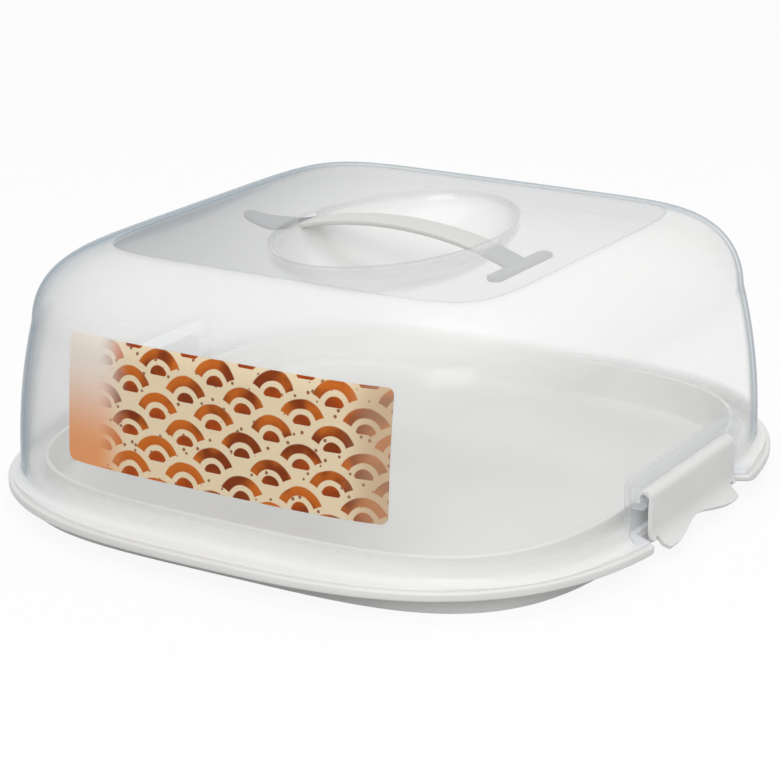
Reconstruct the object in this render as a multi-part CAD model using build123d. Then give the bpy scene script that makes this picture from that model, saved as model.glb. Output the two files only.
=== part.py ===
"""Cake carrier: a clear domed lid that lifts off a reversible tray.

Two side clips swing on rods in the lid and hold the tray's rim. A strap handle crosses a bowl
sunk in the lid's top. X runs from clip to clip, -Y is the front with the label, and Z = 0 is the
plane that the tray's foot ring stands on. All sizes are in millimetres.
"""

import math
import os
from build123d import *

# ---- tray: plan outlines are superellipses |x/a|^n + |y/b|^n = 1, inset from the rim ---------
RIM_HALF_X = 168.0
RIM_HALF_Y = 172.5
RIM_POWER = 2.9
RIM_BOTTOM = 10.0
RIM_THICKNESS = 4.3
RIM_EDGE_ROUND = 1.3
BEAD_WIDTH = 3.0
BEAD_HEIGHT = 1.2

WALL_INSET_X = 23.0
WALL_INSET_Y = 23.5
WALL_POWER = 3.7
WALL_RISE = 9.6
WALL_THICKNESS = 2.0
WALL_DRAFT = 2.5
FLOOR_TOP = 4.7
FLOOR_THICKNESS = 2.0
FLOOR_ROUND = 3.0

FOOT_INSET_X = 20.0
FOOT_INSET_Y = 18.5
FOOT_POWER = 3.9
FOOT_THICKNESS = 2.0

CUPCAKE_COLUMNS = 3
CUPCAKE_ROWS = 4
CUPCAKE_RING_RADIUS = 32.5
CUPCAKE_RING_WALL = 1.6
CUPCAKE_RING_GAP = 0.7
CUPCAKE_MARGIN = 6.0
CUPCAKE_SPREAD = 2.6

# ---- notches in the rim that the clips pass through ------------------------------------------
NOTCH_DEPTH_X = 14.4
NOTCH_INNER_HALF = 47.0
NOTCH_OUTER_HALF = 55.0
NOTCH_CORNER_ROUND = 4.5

# ---- lid shell --------------------------------------------------------------------------------
LID_THICKNESS = 1.6
LID_FOOT_INSET_X = 10.6
LID_FOOT_INSET_Y = 15.4
LID_FOOT_POWER = 3.55
LID_HEIGHT = 111.7
SHOULDER_RISE = 76.6
SHOULDER_INSET_X = 11.5
SHOULDER_INSET_Y = 3.4
SHOULDER_POWER = 3.7
WALL_BOW = 2.08
PANEL_INSET_X = 64.3
PANEL_INSET_Y = 64.6
PANEL_POWER = 7.5
SHOULDER_CURVE = 1.62
FLARE_RADIUS = 4.0
FLANGE_CLEARANCE = 0.8
FLANGE_NOTCH_MARGIN = 0.6

BOWL_HALF_X = 50.5
BOWL_HALF_Y = 81.0
BOWL_DEPTH = 26.0

# ---- hinge of each clip: a rod in a pocket of the lid ----------------------------------------
ROD_RADIUS = 2.0
ROD_RISE = 16.6
HOOK_CLEARANCE = 0.25
HOOK_THICKNESS = 1.8
HOOK_END_ANGLE = 205.0
HOOK_BEAD_RADIUS = 1.2
POCKET_BACK_GAP = 1.2
POCKET_HALF_Y = 60.4
POCKET_RISE = 28.4
POCKET_ROOF_SLOPE = 30.0
POCKET_ROUND = 4.0
POCKET_MOUTH = 16.0
CHEEK_THICKNESS = 2.0
CHEEK_GAP = 0.6
CHEEK_HALF_HEIGHT = 4.6

# ---- clip plate and finger lip ----------------------------------------------------------------
CLIP_HALF_LENGTH = 45.5
CLIP_THICKNESS = 1.8
CLIP_TO_NOTCH = 3.8
LIP_BEND_RISE = 5.8
LIP_BEND_RADIUS = 10.0
LIP_BEND_ANGLE = 60.0
LIP_LENGTH = 2.5
LIP_HALF_LENGTH = 39.4
LIP_TOP = 11.2
LIP_CORNER_ROUND = 3.0
SCOOP_HALF_LENGTH = 31.0
SCOOP_DEPTH = 4.5
LATCH_CLEARANCE = 0.3
LATCH_HALF_LENGTH = 36.0
LATCH_DROP = 0.2
LATCH_HEIGHT = 1.5
LATCH_SLOPE_HEIGHT = 1.9

# ---- strap handle ----------------------------------------------------------------------------
STRAP_HALF_WIDTH = 8.65
STRAP_THICKNESS = 2.6
STRAP_APEX = 3.0
STRAP_LIFT = 1.8
SLOT_SIDE_GAP = 0.65
SLOT_TOP_GAP = 0.2
SLOT_BOTTOM_GAP = 0.3
SLOT_REACH = 6.0
STEM_LENGTH = 16.5
STEM_DROP = 5.9
TEE_LENGTH = 54.0
TEE_WIDTH = 8.0
TEE_CORNER_ROUND = 2.4
TONGUE_START = 11.5
TONGUE_BARB_HALF = 11.0
TONGUE_BARB_RUN = 2.5
TONGUE_END_HALF = 4.0
TONGUE_LENGTH = 36.5
TONGUE_DIP = 2.6
TONGUE_END_ROUND = 3.2

# ---- label -----------------------------------------------------------------------------------
LABEL_CENTRE_X = 2.0
LABEL_HALF_X = 84.0
LABEL_BOTTOM = 25.5
LABEL_HEIGHT = 59.4
LABEL_ROUND = 3.5
LABEL_THICKNESS = 0.35
LABEL_GAP = 0.1

# ---- how finely the curves are drawn, and how near an edge must be to be picked --------------
OUTLINE_POINTS = 48
WALL_STEPS = 4
SHOULDER_STEPS = 7
SHOULDER_SPLIT = 0.6
STATION_STEP = 0.01
HOLLOW_FOOT = -0.25
STRAP_STEPS = 10
REACH = 400.0
NEAR = 0.01
BESIDE = 1.0

# ---- places worked out from the sizes --------------------------------------------------------
WALL_HALF_X = RIM_HALF_X - WALL_INSET_X
WALL_HALF_Y = RIM_HALF_Y - WALL_INSET_Y
FOOT_HALF_X = RIM_HALF_X - FOOT_INSET_X
FOOT_HALF_Y = RIM_HALF_Y - FOOT_INSET_Y
LID_FOOT_HALF_X = RIM_HALF_X - LID_FOOT_INSET_X
LID_FOOT_HALF_Y = RIM_HALF_Y - LID_FOOT_INSET_Y
PANEL_HALF_X = RIM_HALF_X - PANEL_INSET_X
PANEL_HALF_Y = RIM_HALF_Y - PANEL_INSET_Y
RIM_TOP = RIM_BOTTOM + RIM_THICKNESS
LAND = RIM_TOP - BEAD_HEIGHT
WALL_TOP = RIM_TOP + WALL_RISE
FLANGE_TOP = LAND + LID_THICKNESS
PANEL_TOP = RIM_TOP + LID_HEIGHT
SHOULDER_START = RIM_TOP + SHOULDER_RISE
NOTCH_X = RIM_HALF_X - NOTCH_DEPTH_X
CLIP_INNER_X = NOTCH_X + CLIP_TO_NOTCH
ROD_X = CLIP_INNER_X - HOOK_CLEARANCE - ROD_RADIUS
ROD_Z = RIM_TOP + ROD_RISE
HOOK_INNER = ROD_RADIUS + HOOK_CLEARANCE
HOOK_OUTER = HOOK_INNER + HOOK_THICKNESS
POCKET_X = ROD_X - HOOK_OUTER - POCKET_BACK_GAP
CHEEK_INNER = CLIP_HALF_LENGTH + CHEEK_GAP
CHEEK_OUTER = CHEEK_INNER + CHEEK_THICKNESS
SKIN = PANEL_TOP - LID_THICKNESS
STRAP_AT_SLOT = SKIN - SLOT_TOP_GAP - STRAP_LIFT - STRAP_THICKNESS / 2


def section(half_x, half_y, power, height):
    """A flat superellipse face at a height."""
    points = []
    for index in range(OUTLINE_POINTS):
        angle = 2 * math.pi * index / OUTLINE_POINTS
        along_x = abs(math.cos(angle) / half_x)**power
        along_y = abs(math.sin(angle) / half_y)**power
        radius = (along_x + along_y)**(-1 / power)
        points.append((radius * math.cos(angle), radius * math.sin(angle), height))
    return Face(Wire([Edge.make_spline(points, periodic=True)]))


def slab(half_x, half_y, power, bottom, top):
    """An upright superellipse prism."""
    return extrude(section(half_x, half_y, power, bottom), amount=top - bottom, dir=(0, 0, 1))


def block(x_low, x_high, y_low, y_high, z_low, z_high):
    """A box given by its two corners."""
    size = (x_high - x_low, y_high - y_low, z_high - z_low)
    middle = ((x_low + x_high) / 2, (y_low + y_high) / 2, (z_low + z_high) / 2)
    return Pos(*middle) * Box(*size)


def side_prism(outline, y_low, y_high):
    """Extrude a closed list of (x, z) points along Y."""
    face = make_face(Polyline(*[(x, y_low, z) for x, z in outline], close=True))
    return extrude(face, amount=y_high - y_low, dir=(0, 1, 0))


def other_side(shape):
    """The same shape on the -X side."""
    return mirror(shape, about=Plane.YZ)


# ---- tray ------------------------------------------------------------------------------------
def notch(margin, bottom, top):
    """The tapered gap in the rim at +X, widened by a margin."""
    inner = NOTCH_X - margin
    run = NOTCH_OUTER_HALF - NOTCH_INNER_HALF
    far = REACH - inner
    spread = run * far / NOTCH_DEPTH_X
    corners = [
        (inner, -NOTCH_INNER_HALF - margin),
        (REACH, -NOTCH_INNER_HALF - margin - spread),
        (REACH, NOTCH_INNER_HALF + margin + spread),
        (inner, NOTCH_INNER_HALF + margin),
    ]
    face = make_face(Polyline(*[(x, y, bottom) for x, y in corners], close=True))
    return extrude(face, amount=top - bottom, dir=(0, 0, 1))


def rim():
    """The flat land with a raised bead round its edge, notched for both clips."""
    plate = slab(RIM_HALF_X, RIM_HALF_Y, RIM_POWER, RIM_BOTTOM, RIM_TOP)
    gap = notch(0, 0, RIM_TOP + BESIDE)
    plate -= [gap, other_side(gap)]
    corners = []
    for edge in plate.edges():
        size = edge.bounding_box().size
        if max(size.X, size.Y) < NEAR and abs(edge.center().X) > NOTCH_X + BESIDE:
            corners.append(edge)
    plate = fillet(corners, NOTCH_CORNER_ROUND)
    outline = [edge for edge in plate.edges() if edge.bounding_box().size.Z < NEAR]
    plate = fillet(outline, RIM_EDGE_ROUND)
    recess = slab(RIM_HALF_X - BEAD_WIDTH, RIM_HALF_Y - BEAD_WIDTH, RIM_POWER, LAND, RIM_TOP)
    return plate - recess


def dish():
    """The recessed floor with its wall, which stands up inside the lid."""
    low = FLOOR_TOP - FLOOR_THICKNESS
    outer = loft([
        section(WALL_HALF_X - WALL_DRAFT, WALL_HALF_Y - WALL_DRAFT, WALL_POWER, low),
        section(WALL_HALF_X, WALL_HALF_Y, WALL_POWER, WALL_TOP),
    ])
    inset = WALL_THICKNESS
    drawn_in = inset + WALL_DRAFT
    inner = loft([
        section(WALL_HALF_X - drawn_in, WALL_HALF_Y - drawn_in, WALL_POWER, FLOOR_TOP),
        section(WALL_HALF_X - inset, WALL_HALF_Y - inset, WALL_POWER, WALL_TOP),
    ])
    inner = fillet(inner.edges().group_by(Axis.Z)[0], FLOOR_ROUND)
    return outer, inner


def foot_ring():
    """The ring that the carrier stands on, and that the lid goes round when the tray is turned."""
    outer = slab(FOOT_HALF_X, FOOT_HALF_Y, FOOT_POWER, 0, LAND)
    inset = FOOT_THICKNESS
    inner = slab(FOOT_HALF_X - inset, FOOT_HALF_Y - inset, FOOT_POWER, 0, RIM_BOTTOM)
    return outer, inner


def cupcake_rings():
    """Low rings under the floor, which hold cupcakes when the tray is turned over."""
    edge = WALL_DRAFT + CUPCAKE_MARGIN + CUPCAKE_RING_RADIUS
    span_x = 2 * (WALL_HALF_X - edge)
    span_y = 2 * (WALL_HALF_Y - edge)
    pitch_x = min(span_x / (CUPCAKE_COLUMNS - 1), CUPCAKE_SPREAD * CUPCAKE_RING_RADIUS)
    pitch_y = span_y / (CUPCAKE_ROWS - 1)
    height = FLOOR_TOP - FLOOR_THICKNESS - CUPCAKE_RING_GAP
    ring = Cylinder(CUPCAKE_RING_RADIUS, height)
    ring -= Cylinder(CUPCAKE_RING_RADIUS - CUPCAKE_RING_WALL, height)
    middle = Vector(0, 0, CUPCAKE_RING_GAP + height / 2)
    places = GridLocations(pitch_x, pitch_y, CUPCAKE_COLUMNS, CUPCAKE_ROWS)
    return [Pos(place.position + middle) * ring for place in places]


def base_tray():
    """The whole reversible tray, one moulding."""
    foot_outer, foot_inner = foot_ring()
    dish_outer, dish_inner = dish()
    tray = rim() + foot_outer
    tray -= foot_inner
    tray += dish_outer
    tray -= dish_inner
    return tray + cupcake_rings()


# ---- lid -------------------------------------------------------------------------------------
def dome_station(place):
    """Half sizes, power and height of the dome's outside: 0 is its foot, 1 the shoulder, 2 the top."""
    wall = min(max(place, 0.0), 1.0)
    bow = wall**WALL_BOW
    half_x = LID_FOOT_HALF_X - SHOULDER_INSET_X * bow
    half_y = LID_FOOT_HALF_Y - SHOULDER_INSET_Y * bow
    power = LID_FOOT_POWER + (SHOULDER_POWER - LID_FOOT_POWER) * wall
    height = RIM_TOP + SHOULDER_RISE * min(place, 1.0)
    if place > 1:
        turn = (place - 1) * math.pi / 2
        inset = 1 - math.cos(turn)**(2 / SHOULDER_CURVE)
        half_x += (PANEL_HALF_X - half_x) * inset
        half_y += (PANEL_HALF_Y - half_y) * inset
        power += (PANEL_POWER - power) * inset
        height += (PANEL_TOP - SHOULDER_START) * math.sin(turn)**(2 / SHOULDER_CURVE)
    return half_x, half_y, power, height


def grown_section(place, grow):
    """The dome's section at a station, moved outwards square to its surface."""
    before = dome_station(place - STATION_STEP)
    after = dome_station(min(place + STATION_STEP, 2))
    run = (before[0] + before[1] - after[0] - after[1]) / 2
    rise = after[3] - before[3]
    length = math.hypot(run, rise)
    half_x, half_y, power, height = dome_station(place)
    out = grow * rise / length
    return section(half_x + out, half_y + out, power, height + grow * run / length)


def dome(grow, foot=0.0):
    """The dome as a solid, moved outwards by a distance, from a station at its foot to its top."""
    wall_step = (SHOULDER_SPLIT - foot) / WALL_STEPS
    rest_step = (2 - SHOULDER_SPLIT) / SHOULDER_STEPS
    places = [foot + wall_step * index for index in range(WALL_STEPS)]
    places += [SHOULDER_SPLIT + rest_step * index for index in range(SHOULDER_STEPS + 1)]
    return loft([grown_section(place, grow) for place in places])


def flange():
    """The flat rim of the lid, which lies on the tray's land inside its bead."""
    inset = BEAD_WIDTH + FLANGE_CLEARANCE
    return slab(RIM_HALF_X - inset, RIM_HALF_Y - inset, RIM_POWER, LAND, FLANGE_TOP)


def pocket(grow, bottom):
    """The recess behind the clip at +X, moved into the lid by a distance."""
    back = POCKET_X - grow
    roof = RIM_TOP + POCKET_RISE + grow
    slope = math.tan(math.radians(POCKET_ROOF_SLOPE))
    drop = slope * (LID_FOOT_HALF_X - back)
    climb = slope * POCKET_MOUTH
    outline = [
        (back, bottom),
        (REACH / 2, bottom),
        (REACH / 2, roof + climb),
        (LID_FOOT_HALF_X + POCKET_MOUTH, roof + climb),
        (back, roof - drop),
    ]
    half = POCKET_HALF_Y + grow
    shape = side_prism(outline, -half, half)
    upright = []
    for edge in shape.edges().filter_by(Axis.Z):
        middle = edge.center()
        if middle.X < back + BESIDE and abs(middle.Y) > half - BESIDE:
            upright.append(edge)
    return fillet(upright, POCKET_ROUND)


def bowl(grow):
    """The elliptical bowl under the strap, as the solid that fills it."""
    size = (BOWL_HALF_X + grow, BOWL_HALF_Y + grow, BOWL_DEPTH + grow)
    ball = Pos(0, 0, PANEL_TOP) * scale(Sphere(1), by=size)
    wide = 2 * BOWL_HALF_Y
    return ball & block(-wide, wide, -wide, wide, PANEL_TOP - 2 * BOWL_DEPTH, PANEL_TOP)


def strap_slot():
    """The opening at +X that the strap's end passes through, under the panel's skin."""
    half = STRAP_HALF_WIDTH + SLOT_SIDE_GAP
    low = strap_height(BOWL_HALF_X + LID_THICKNESS / 2) - STRAP_THICKNESS / 2 - SLOT_BOTTOM_GAP
    return block(BOWL_HALF_X - SLOT_REACH, BOWL_HALF_X + SLOT_REACH, -half, half, low, SKIN)


def rod_mount():
    """The hinge rod at +X with the cheeks that join it to the pocket."""
    back = POCKET_X - LID_THICKNESS / 2
    rod = Pos(ROD_X, 0, ROD_Z) * Rot(90, 0, 0) * Cylinder(ROD_RADIUS, 2 * CHEEK_OUTER)
    low = ROD_Z - CHEEK_HALF_HEIGHT
    high = ROD_Z + CHEEK_HALF_HEIGHT
    pieces = [rod]
    for side in (-1, 1):
        near = min(side * CHEEK_INNER, side * CHEEK_OUTER)
        plate = block(back, ROD_X + ROD_RADIUS, near, near + CHEEK_THICKNESS, low, high)
        outer = plate.edges().filter_by(Axis.Y).group_by(Axis.X)[-1]
        pieces.append(fillet(outer, ROD_RADIUS))
    return pieces


def lid():
    """The whole clear lid, one moulding."""
    outer = dome(0) + flange()
    foot = []
    for edge in outer.edges():
        extent = edge.bounding_box().max
        if abs(edge.center().Z - FLANGE_TOP) < NEAR and extent.Y < LID_FOOT_HALF_Y + BESIDE:
            foot.append(edge)
    outer = fillet(foot, FLARE_RADIUS)
    recess = pocket(0, FLANGE_TOP)
    outer -= [recess, other_side(recess)]
    kept = pocket(LID_THICKNESS, -RIM_TOP)
    hollow = dome(-LID_THICKNESS, HOLLOW_FOOT)
    hollow -= [kept, other_side(kept), bowl(LID_THICKNESS)]
    slot = strap_slot()
    clip_gap = notch(FLANGE_NOTCH_MARGIN, 0, FLANGE_TOP + BESIDE)
    shell = outer - hollow
    shell -= [bowl(0), slot, other_side(slot), clip_gap, other_side(clip_gap)]
    mounts = rod_mount()
    return shell + mounts + [other_side(piece) for piece in mounts]


# ---- clips -----------------------------------------------------------------------------------
def polar(centre, radius, angle):
    """A point in the XZ plane at an angle, in degrees from +X towards +Z."""
    turn = math.radians(angle)
    return (centre[0] + radius * math.cos(turn), centre[1] + radius * math.sin(turn))


def line(start, end):
    """A straight edge between two (x, z) points."""
    return Line((start[0], 0, start[1]), (end[0], 0, end[1]))


def arc(centre, radius, first, last):
    """An arc about an (x, z) centre between two angles."""
    points = [polar(centre, radius, angle) for angle in (first, (first + last) / 2, last)]
    return ThreePointArc(*[(x, 0, z) for x, z in points])


def lip_bend():
    """The centre, as (x, z), that the clip's lower end is bent about."""
    return (CLIP_INNER_X + CLIP_THICKNESS / 2 + LIP_BEND_RADIUS, LIP_TOP + LIP_BEND_RISE)


def clip_profile():
    """The clip's cross-section: hook over the rod, flat plate and curved finger lip."""
    rod = (ROD_X, ROD_Z)
    bend = lip_bend()
    near = LIP_BEND_RADIUS - CLIP_THICKNESS / 2
    far = LIP_BEND_RADIUS + CLIP_THICKNESS / 2
    turn = 180 + LIP_BEND_ANGLE
    near_end = polar(bend, near, turn)
    far_end = polar(bend, far, turn)
    near_tip = polar(near_end, LIP_LENGTH, turn + 90)
    far_tip = polar(far_end, LIP_LENGTH, turn + 90)
    edges = [
        arc(rod, HOOK_OUTER, 0, HOOK_END_ANGLE),
        line(polar(rod, HOOK_OUTER, HOOK_END_ANGLE), polar(rod, HOOK_INNER, HOOK_END_ANGLE)),
        arc(rod, HOOK_INNER, HOOK_END_ANGLE, 0),
        line(polar(rod, HOOK_INNER, 0), polar(bend, far, 180)),
        arc(bend, far, 180, turn),
        line(far_end, far_tip),
        line(far_tip, near_tip),
        line(near_tip, near_end),
        arc(bend, near, turn, 180),
        line(polar(bend, near, 180), polar(rod, HOOK_OUTER, 0)),
    ]
    return make_face(edges)


def lip_plan(tip):
    """The finger lip seen from above: two rounded prongs with a scoop between them."""
    start = CLIP_INNER_X - CLIP_THICKNESS
    wave = [(tip, -SCOOP_HALF_LENGTH), (tip - SCOOP_DEPTH, 0), (tip, SCOOP_HALF_LENGTH)]
    edges = [
        Line((start, -LIP_HALF_LENGTH), (tip, -LIP_HALF_LENGTH)),
        Line((tip, -LIP_HALF_LENGTH), (tip, -SCOOP_HALF_LENGTH)),
        Spline(*wave, tangents=[(0, 1), (0, 1)]),
        Line((tip, SCOOP_HALF_LENGTH), (tip, LIP_HALF_LENGTH)),
        Line((tip, LIP_HALF_LENGTH), (start, LIP_HALF_LENGTH)),
        Line((start, LIP_HALF_LENGTH), (start, -LIP_HALF_LENGTH)),
    ]
    face = make_face(edges)
    prong = []
    for point in face.vertices():
        if point.X > tip - BESIDE and abs(point.Y) > LIP_HALF_LENGTH - BESIDE:
            prong.append(point)
    return fillet(prong, LIP_CORNER_ROUND)


def latch():
    """The rib inside the clip that reaches in below the tray's rim."""
    nose = NOTCH_X + LATCH_CLEARANCE
    top = RIM_BOTTOM - LATCH_DROP
    bend = lip_bend()
    drop = bend[1] - top - LATCH_HEIGHT
    root = bend[0] - math.sqrt(LIP_BEND_RADIUS**2 - drop**2)
    outline = [
        (root, top + LATCH_HEIGHT),
        (nose, top),
        (nose, top - LATCH_HEIGHT),
        (root, top - LATCH_SLOPE_HEIGHT + LATCH_HEIGHT),
    ]
    return side_prism(outline, -LATCH_HALF_LENGTH, LATCH_HALF_LENGTH)


def clip():
    """The clip at +X, one moulding."""
    profile = clip_profile()
    plate = extrude(profile, amount=CLIP_HALF_LENGTH, dir=(0, 1, 0), both=True)
    tip = profile.bounding_box().max.X
    start = CLIP_INNER_X - CLIP_THICKNESS
    side = CLIP_HALF_LENGTH + BESIDE
    below = block(start, tip + BESIDE, -side, side, -LIP_TOP, LIP_TOP)
    kept = Pos(0, 0, -LIP_TOP) * extrude(lip_plan(tip), amount=2 * LIP_TOP, dir=(0, 0, 1))
    end = polar((ROD_X, ROD_Z), HOOK_INNER + HOOK_BEAD_RADIUS, HOOK_END_ANGLE)
    bead = Pos(end[0], 0, end[1]) * Rot(90, 0, 0) * Cylinder(HOOK_BEAD_RADIUS, 2 * CLIP_HALF_LENGTH)
    return plate - (below - kept) + latch() + bead


# ---- strap handle ----------------------------------------------------------------------------
def strap_height(x):
    """Height of the strap's middle surface at a place along X."""
    apex = PANEL_TOP + STRAP_APEX - STRAP_THICKNESS / 2
    if x > BOWL_HALF_X:
        return STRAP_AT_SLOT - STEM_DROP * (x - BOWL_HALF_X) / STEM_LENGTH
    if x < -BOWL_HALF_X:
        share = (-BOWL_HALF_X - x) / TONGUE_LENGTH
        return STRAP_AT_SLOT - TONGUE_DIP * math.sin(math.pi * share)
    return STRAP_AT_SLOT + (apex - STRAP_AT_SLOT) * (1 - (x / BOWL_HALF_X)**2)


def strap_side():
    """The strap seen from the front, as a face in the XZ plane."""
    start = -BOWL_HALF_X - TONGUE_LENGTH
    end = BOWL_HALF_X + STEM_LENGTH
    places = [start + (end - start) * index / STRAP_STEPS for index in range(STRAP_STEPS + 1)]
    half = STRAP_THICKNESS / 2
    top = [(x, 0, strap_height(x) + half) for x in places]
    low = [(x, 0, strap_height(x) - half) for x in places]
    low = low[::-1]
    return make_face([Spline(*top), Line(top[-1], low[0]), Spline(*low), Line(low[-1], top[0])])


def strap_plan():
    """The strap seen from above: an even band that ends in a barbed tongue at -X."""
    neck = -BOWL_HALF_X - TONGUE_START
    barb = neck - TONGUE_BARB_RUN
    tip = -BOWL_HALF_X - TONGUE_LENGTH
    end = BOWL_HALF_X + STEM_LENGTH
    half = [
        (end, STRAP_HALF_WIDTH),
        (neck, STRAP_HALF_WIDTH),
        (barb, TONGUE_BARB_HALF),
        (tip, TONGUE_END_HALF),
    ]
    outline = half + [(x, -y) for x, y in half[::-1]]
    face = make_face(Polyline(*outline, close=True))
    ends = [point for point in face.vertices() if point.X < tip + BESIDE]
    return fillet(ends, TONGUE_END_ROUND)


def carry_handle():
    """The strap with its tongue and its T-shaped end, one moulding."""
    wide = TEE_LENGTH
    band = extrude(strap_side(), amount=wide, dir=(0, 1, 0), both=True)
    low = PANEL_TOP - BOWL_DEPTH
    plan = Pos(0, 0, low) * extrude(strap_plan(), amount=2 * BOWL_DEPTH, dir=(0, 0, 1))
    end = BOWL_HALF_X + STEM_LENGTH
    tee = Pos(end, 0, strap_height(end)) * Box(TEE_WIDTH, TEE_LENGTH, STRAP_THICKNESS)
    tee = fillet(tee.edges().filter_by(Axis.Z), TEE_CORNER_ROUND)
    return (band & plan) + tee


# ---- label -----------------------------------------------------------------------------------
def front_label():
    """The printed label, a thin sheet that follows the front wall."""
    middle = RIM_TOP + LABEL_BOTTOM + LABEL_HEIGHT / 2
    frame = Plane(origin=(LABEL_CENTRE_X, 0, middle), x_dir=(1, 0, 0), z_dir=(0, -1, 0))
    sheet = frame * RectangleRounded(2 * LABEL_HALF_X, LABEL_HEIGHT, LABEL_ROUND)
    window = extrude(sheet, amount=REACH)
    return (dome(LABEL_GAP + LABEL_THICKNESS) & window) - dome(LABEL_GAP)


def main():
    """Write every piece to its own file."""
    right = clip()
    pieces = {
        "base_tray": base_tray(),
        "lid": lid(),
        "right_clip": right,
        "left_clip": other_side(right),
        "carry_handle": carry_handle(),
        "front_label": front_label(),
    }
    os.makedirs("parts", exist_ok=True)
    for name, shape in pieces.items():
        export_step(shape, f"parts/{name}.step")


if __name__ == "__main__":
    main()
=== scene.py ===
"""Cake carrier: a milky clear domed lid clipped over a white reversible tray.

X runs from clip to clip, -Y is the front with the label, Z is up, and the tray's foot stands on
Z = 0. The classes that build pieces hold their sizes in millimetres and their angles in degrees.
The finishes and the studio hold theirs in metres, and every mesh is written in metres.
"""

import logging
import math
from dataclasses import dataclass
from enum import Enum
from functools import reduce

import bmesh
import bpy
import numpy as np
from mathutils import Matrix, Vector


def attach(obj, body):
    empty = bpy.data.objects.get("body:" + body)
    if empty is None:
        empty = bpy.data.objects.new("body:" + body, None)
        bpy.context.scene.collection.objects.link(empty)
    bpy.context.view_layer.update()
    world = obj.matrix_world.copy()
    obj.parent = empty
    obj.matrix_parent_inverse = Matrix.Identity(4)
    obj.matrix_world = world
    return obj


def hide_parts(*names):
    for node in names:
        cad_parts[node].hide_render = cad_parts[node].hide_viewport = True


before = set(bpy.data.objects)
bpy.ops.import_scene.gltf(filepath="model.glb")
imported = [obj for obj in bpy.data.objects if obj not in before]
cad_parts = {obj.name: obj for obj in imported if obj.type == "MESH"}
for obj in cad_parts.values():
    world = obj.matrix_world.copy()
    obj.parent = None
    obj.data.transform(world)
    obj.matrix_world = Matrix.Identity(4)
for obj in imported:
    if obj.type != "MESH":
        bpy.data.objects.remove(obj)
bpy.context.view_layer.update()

MM = 0.001
MERGE = 2e-6
TONE_LIMITS = (0.3, 0.7)
FULL_TURN = 2 * math.pi
SEARCH_REACH = 25.0
SEARCH_POINTS = 2501
ROUND_POINTS = 24
LOG = logging.getLogger("cake_carrier")

Array = np.ndarray
Piece = bpy.types.Object
Material = bpy.types.Material
Node = bpy.types.Node
Tree = bpy.types.NodeTree
Socket = bpy.types.NodeSocket
Value = Socket | float
Colour = Socket | tuple


class Cut(Enum):
    """What a boolean does with its second solid."""

    REMOVE = "DIFFERENCE"
    JOIN = "UNION"


# ---- outlines and grids ------------------------------------------------------------------------
def superellipse(half_x: Array, half_y: Array, power: Array, angle: Array) -> Array:
    """Points of |x/a|^n + |y/b|^n = 1 at polar angles.

    The radius at an angle is (|cos/a|^n + |sin/b|^n) to the power -1/n.

    Args:
        half_x: Half size a along X.
        half_y: Half size b along Y.
        power: The exponent n.
        angle: Polar angles in radians.

    Returns:
        An array of (x, y) pairs with the broadcast shape of the arguments.
    """
    along = np.abs(np.cos(angle)) / half_x
    beside = np.abs(np.sin(angle)) / half_y
    radius = (along**power + beside**power) ** (-1 / power)
    return np.stack([radius * np.cos(angle), radius * np.sin(angle)], axis=-1)


def reach_at(half: Array, other: Array, power: Array, place: Array) -> Array:
    """Half size of a superellipse at a place on its other axis: a times (1 - |y/b|^n) to 1/n."""
    return half * (1 - np.abs(place / other) ** power) ** (1 / power)


def crossing(start: Array, along: Array, size: tuple) -> Array:
    """Where a straight line meets a superellipse, to the nearest hundredth.

    Args:
        start: The line's first (x, y).
        along: The line's unit direction.
        size: Half sizes and power of the superellipse.

    Returns:
        The point of the line whose |x/a|^n + |y/b|^n is nearest to 1.
    """
    points = start + np.linspace(0, SEARCH_REACH, SEARCH_POINTS)[:, None] * along
    level = np.sum(np.abs(points / size[:2]) ** size[2], axis=-1)
    return points[np.argmin(np.abs(level - 1))]


def quarter_turn(count: int) -> Array:
    """Angles from 0 to a quarter turn."""
    return np.linspace(0, math.pi / 2, count)


def circle(centre: tuple, radius: float, first: float, last: float, count: int) -> Array:
    """Points of an arc: the centre plus radius times (cos, sin), with angles in degrees."""
    angle = np.radians(np.linspace(first, last, count))
    return np.asarray(centre) + radius * np.stack([np.cos(angle), np.sin(angle)], axis=-1)


def disc(centre: tuple, radius: float) -> Array:
    """Points once round a circle."""
    return circle(centre, radius, 0, 360 - 360 / ROUND_POINTS, ROUND_POINTS)


def line(start: tuple, end: tuple, count: int) -> Array:
    """Evenly spread points: start + t * (end - start)."""
    start = np.asarray(start, float)
    return start + np.linspace(0, 1, count)[:, None] * (np.asarray(end) - start)


def bend(start: Array, corner: Array, end: Array, count: int) -> Array:
    """Points of a quadratic curve: (1-t)^2 start + 2t(1-t) corner + t^2 end."""
    share = np.linspace(0, 1, count)[:, None]
    return (1 - share) ** 2 * start + 2 * share * (1 - share) * corner + share**2 * end


def fall(past: Array, radius: float) -> Array:
    """How far a rounded end has fallen away at d past its start: r - sqrt(r^2 - d^2)."""
    return radius - np.sqrt(np.clip(radius**2 - past**2, 0, None))


def eased(share: Array) -> Array:
    """A smooth step from 0 to 1: 3t^2 - 2t^3."""
    return share * share * (3 - 2 * share)


def raised(plan: Array, height: Array | float) -> Array:
    """Put heights on (x, y) pairs, which gives (x, y, z) points."""
    level = np.broadcast_to(np.asarray(height, float), plan.shape[:-1])
    return np.concatenate([plan, level[..., None]], axis=-1)


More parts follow.
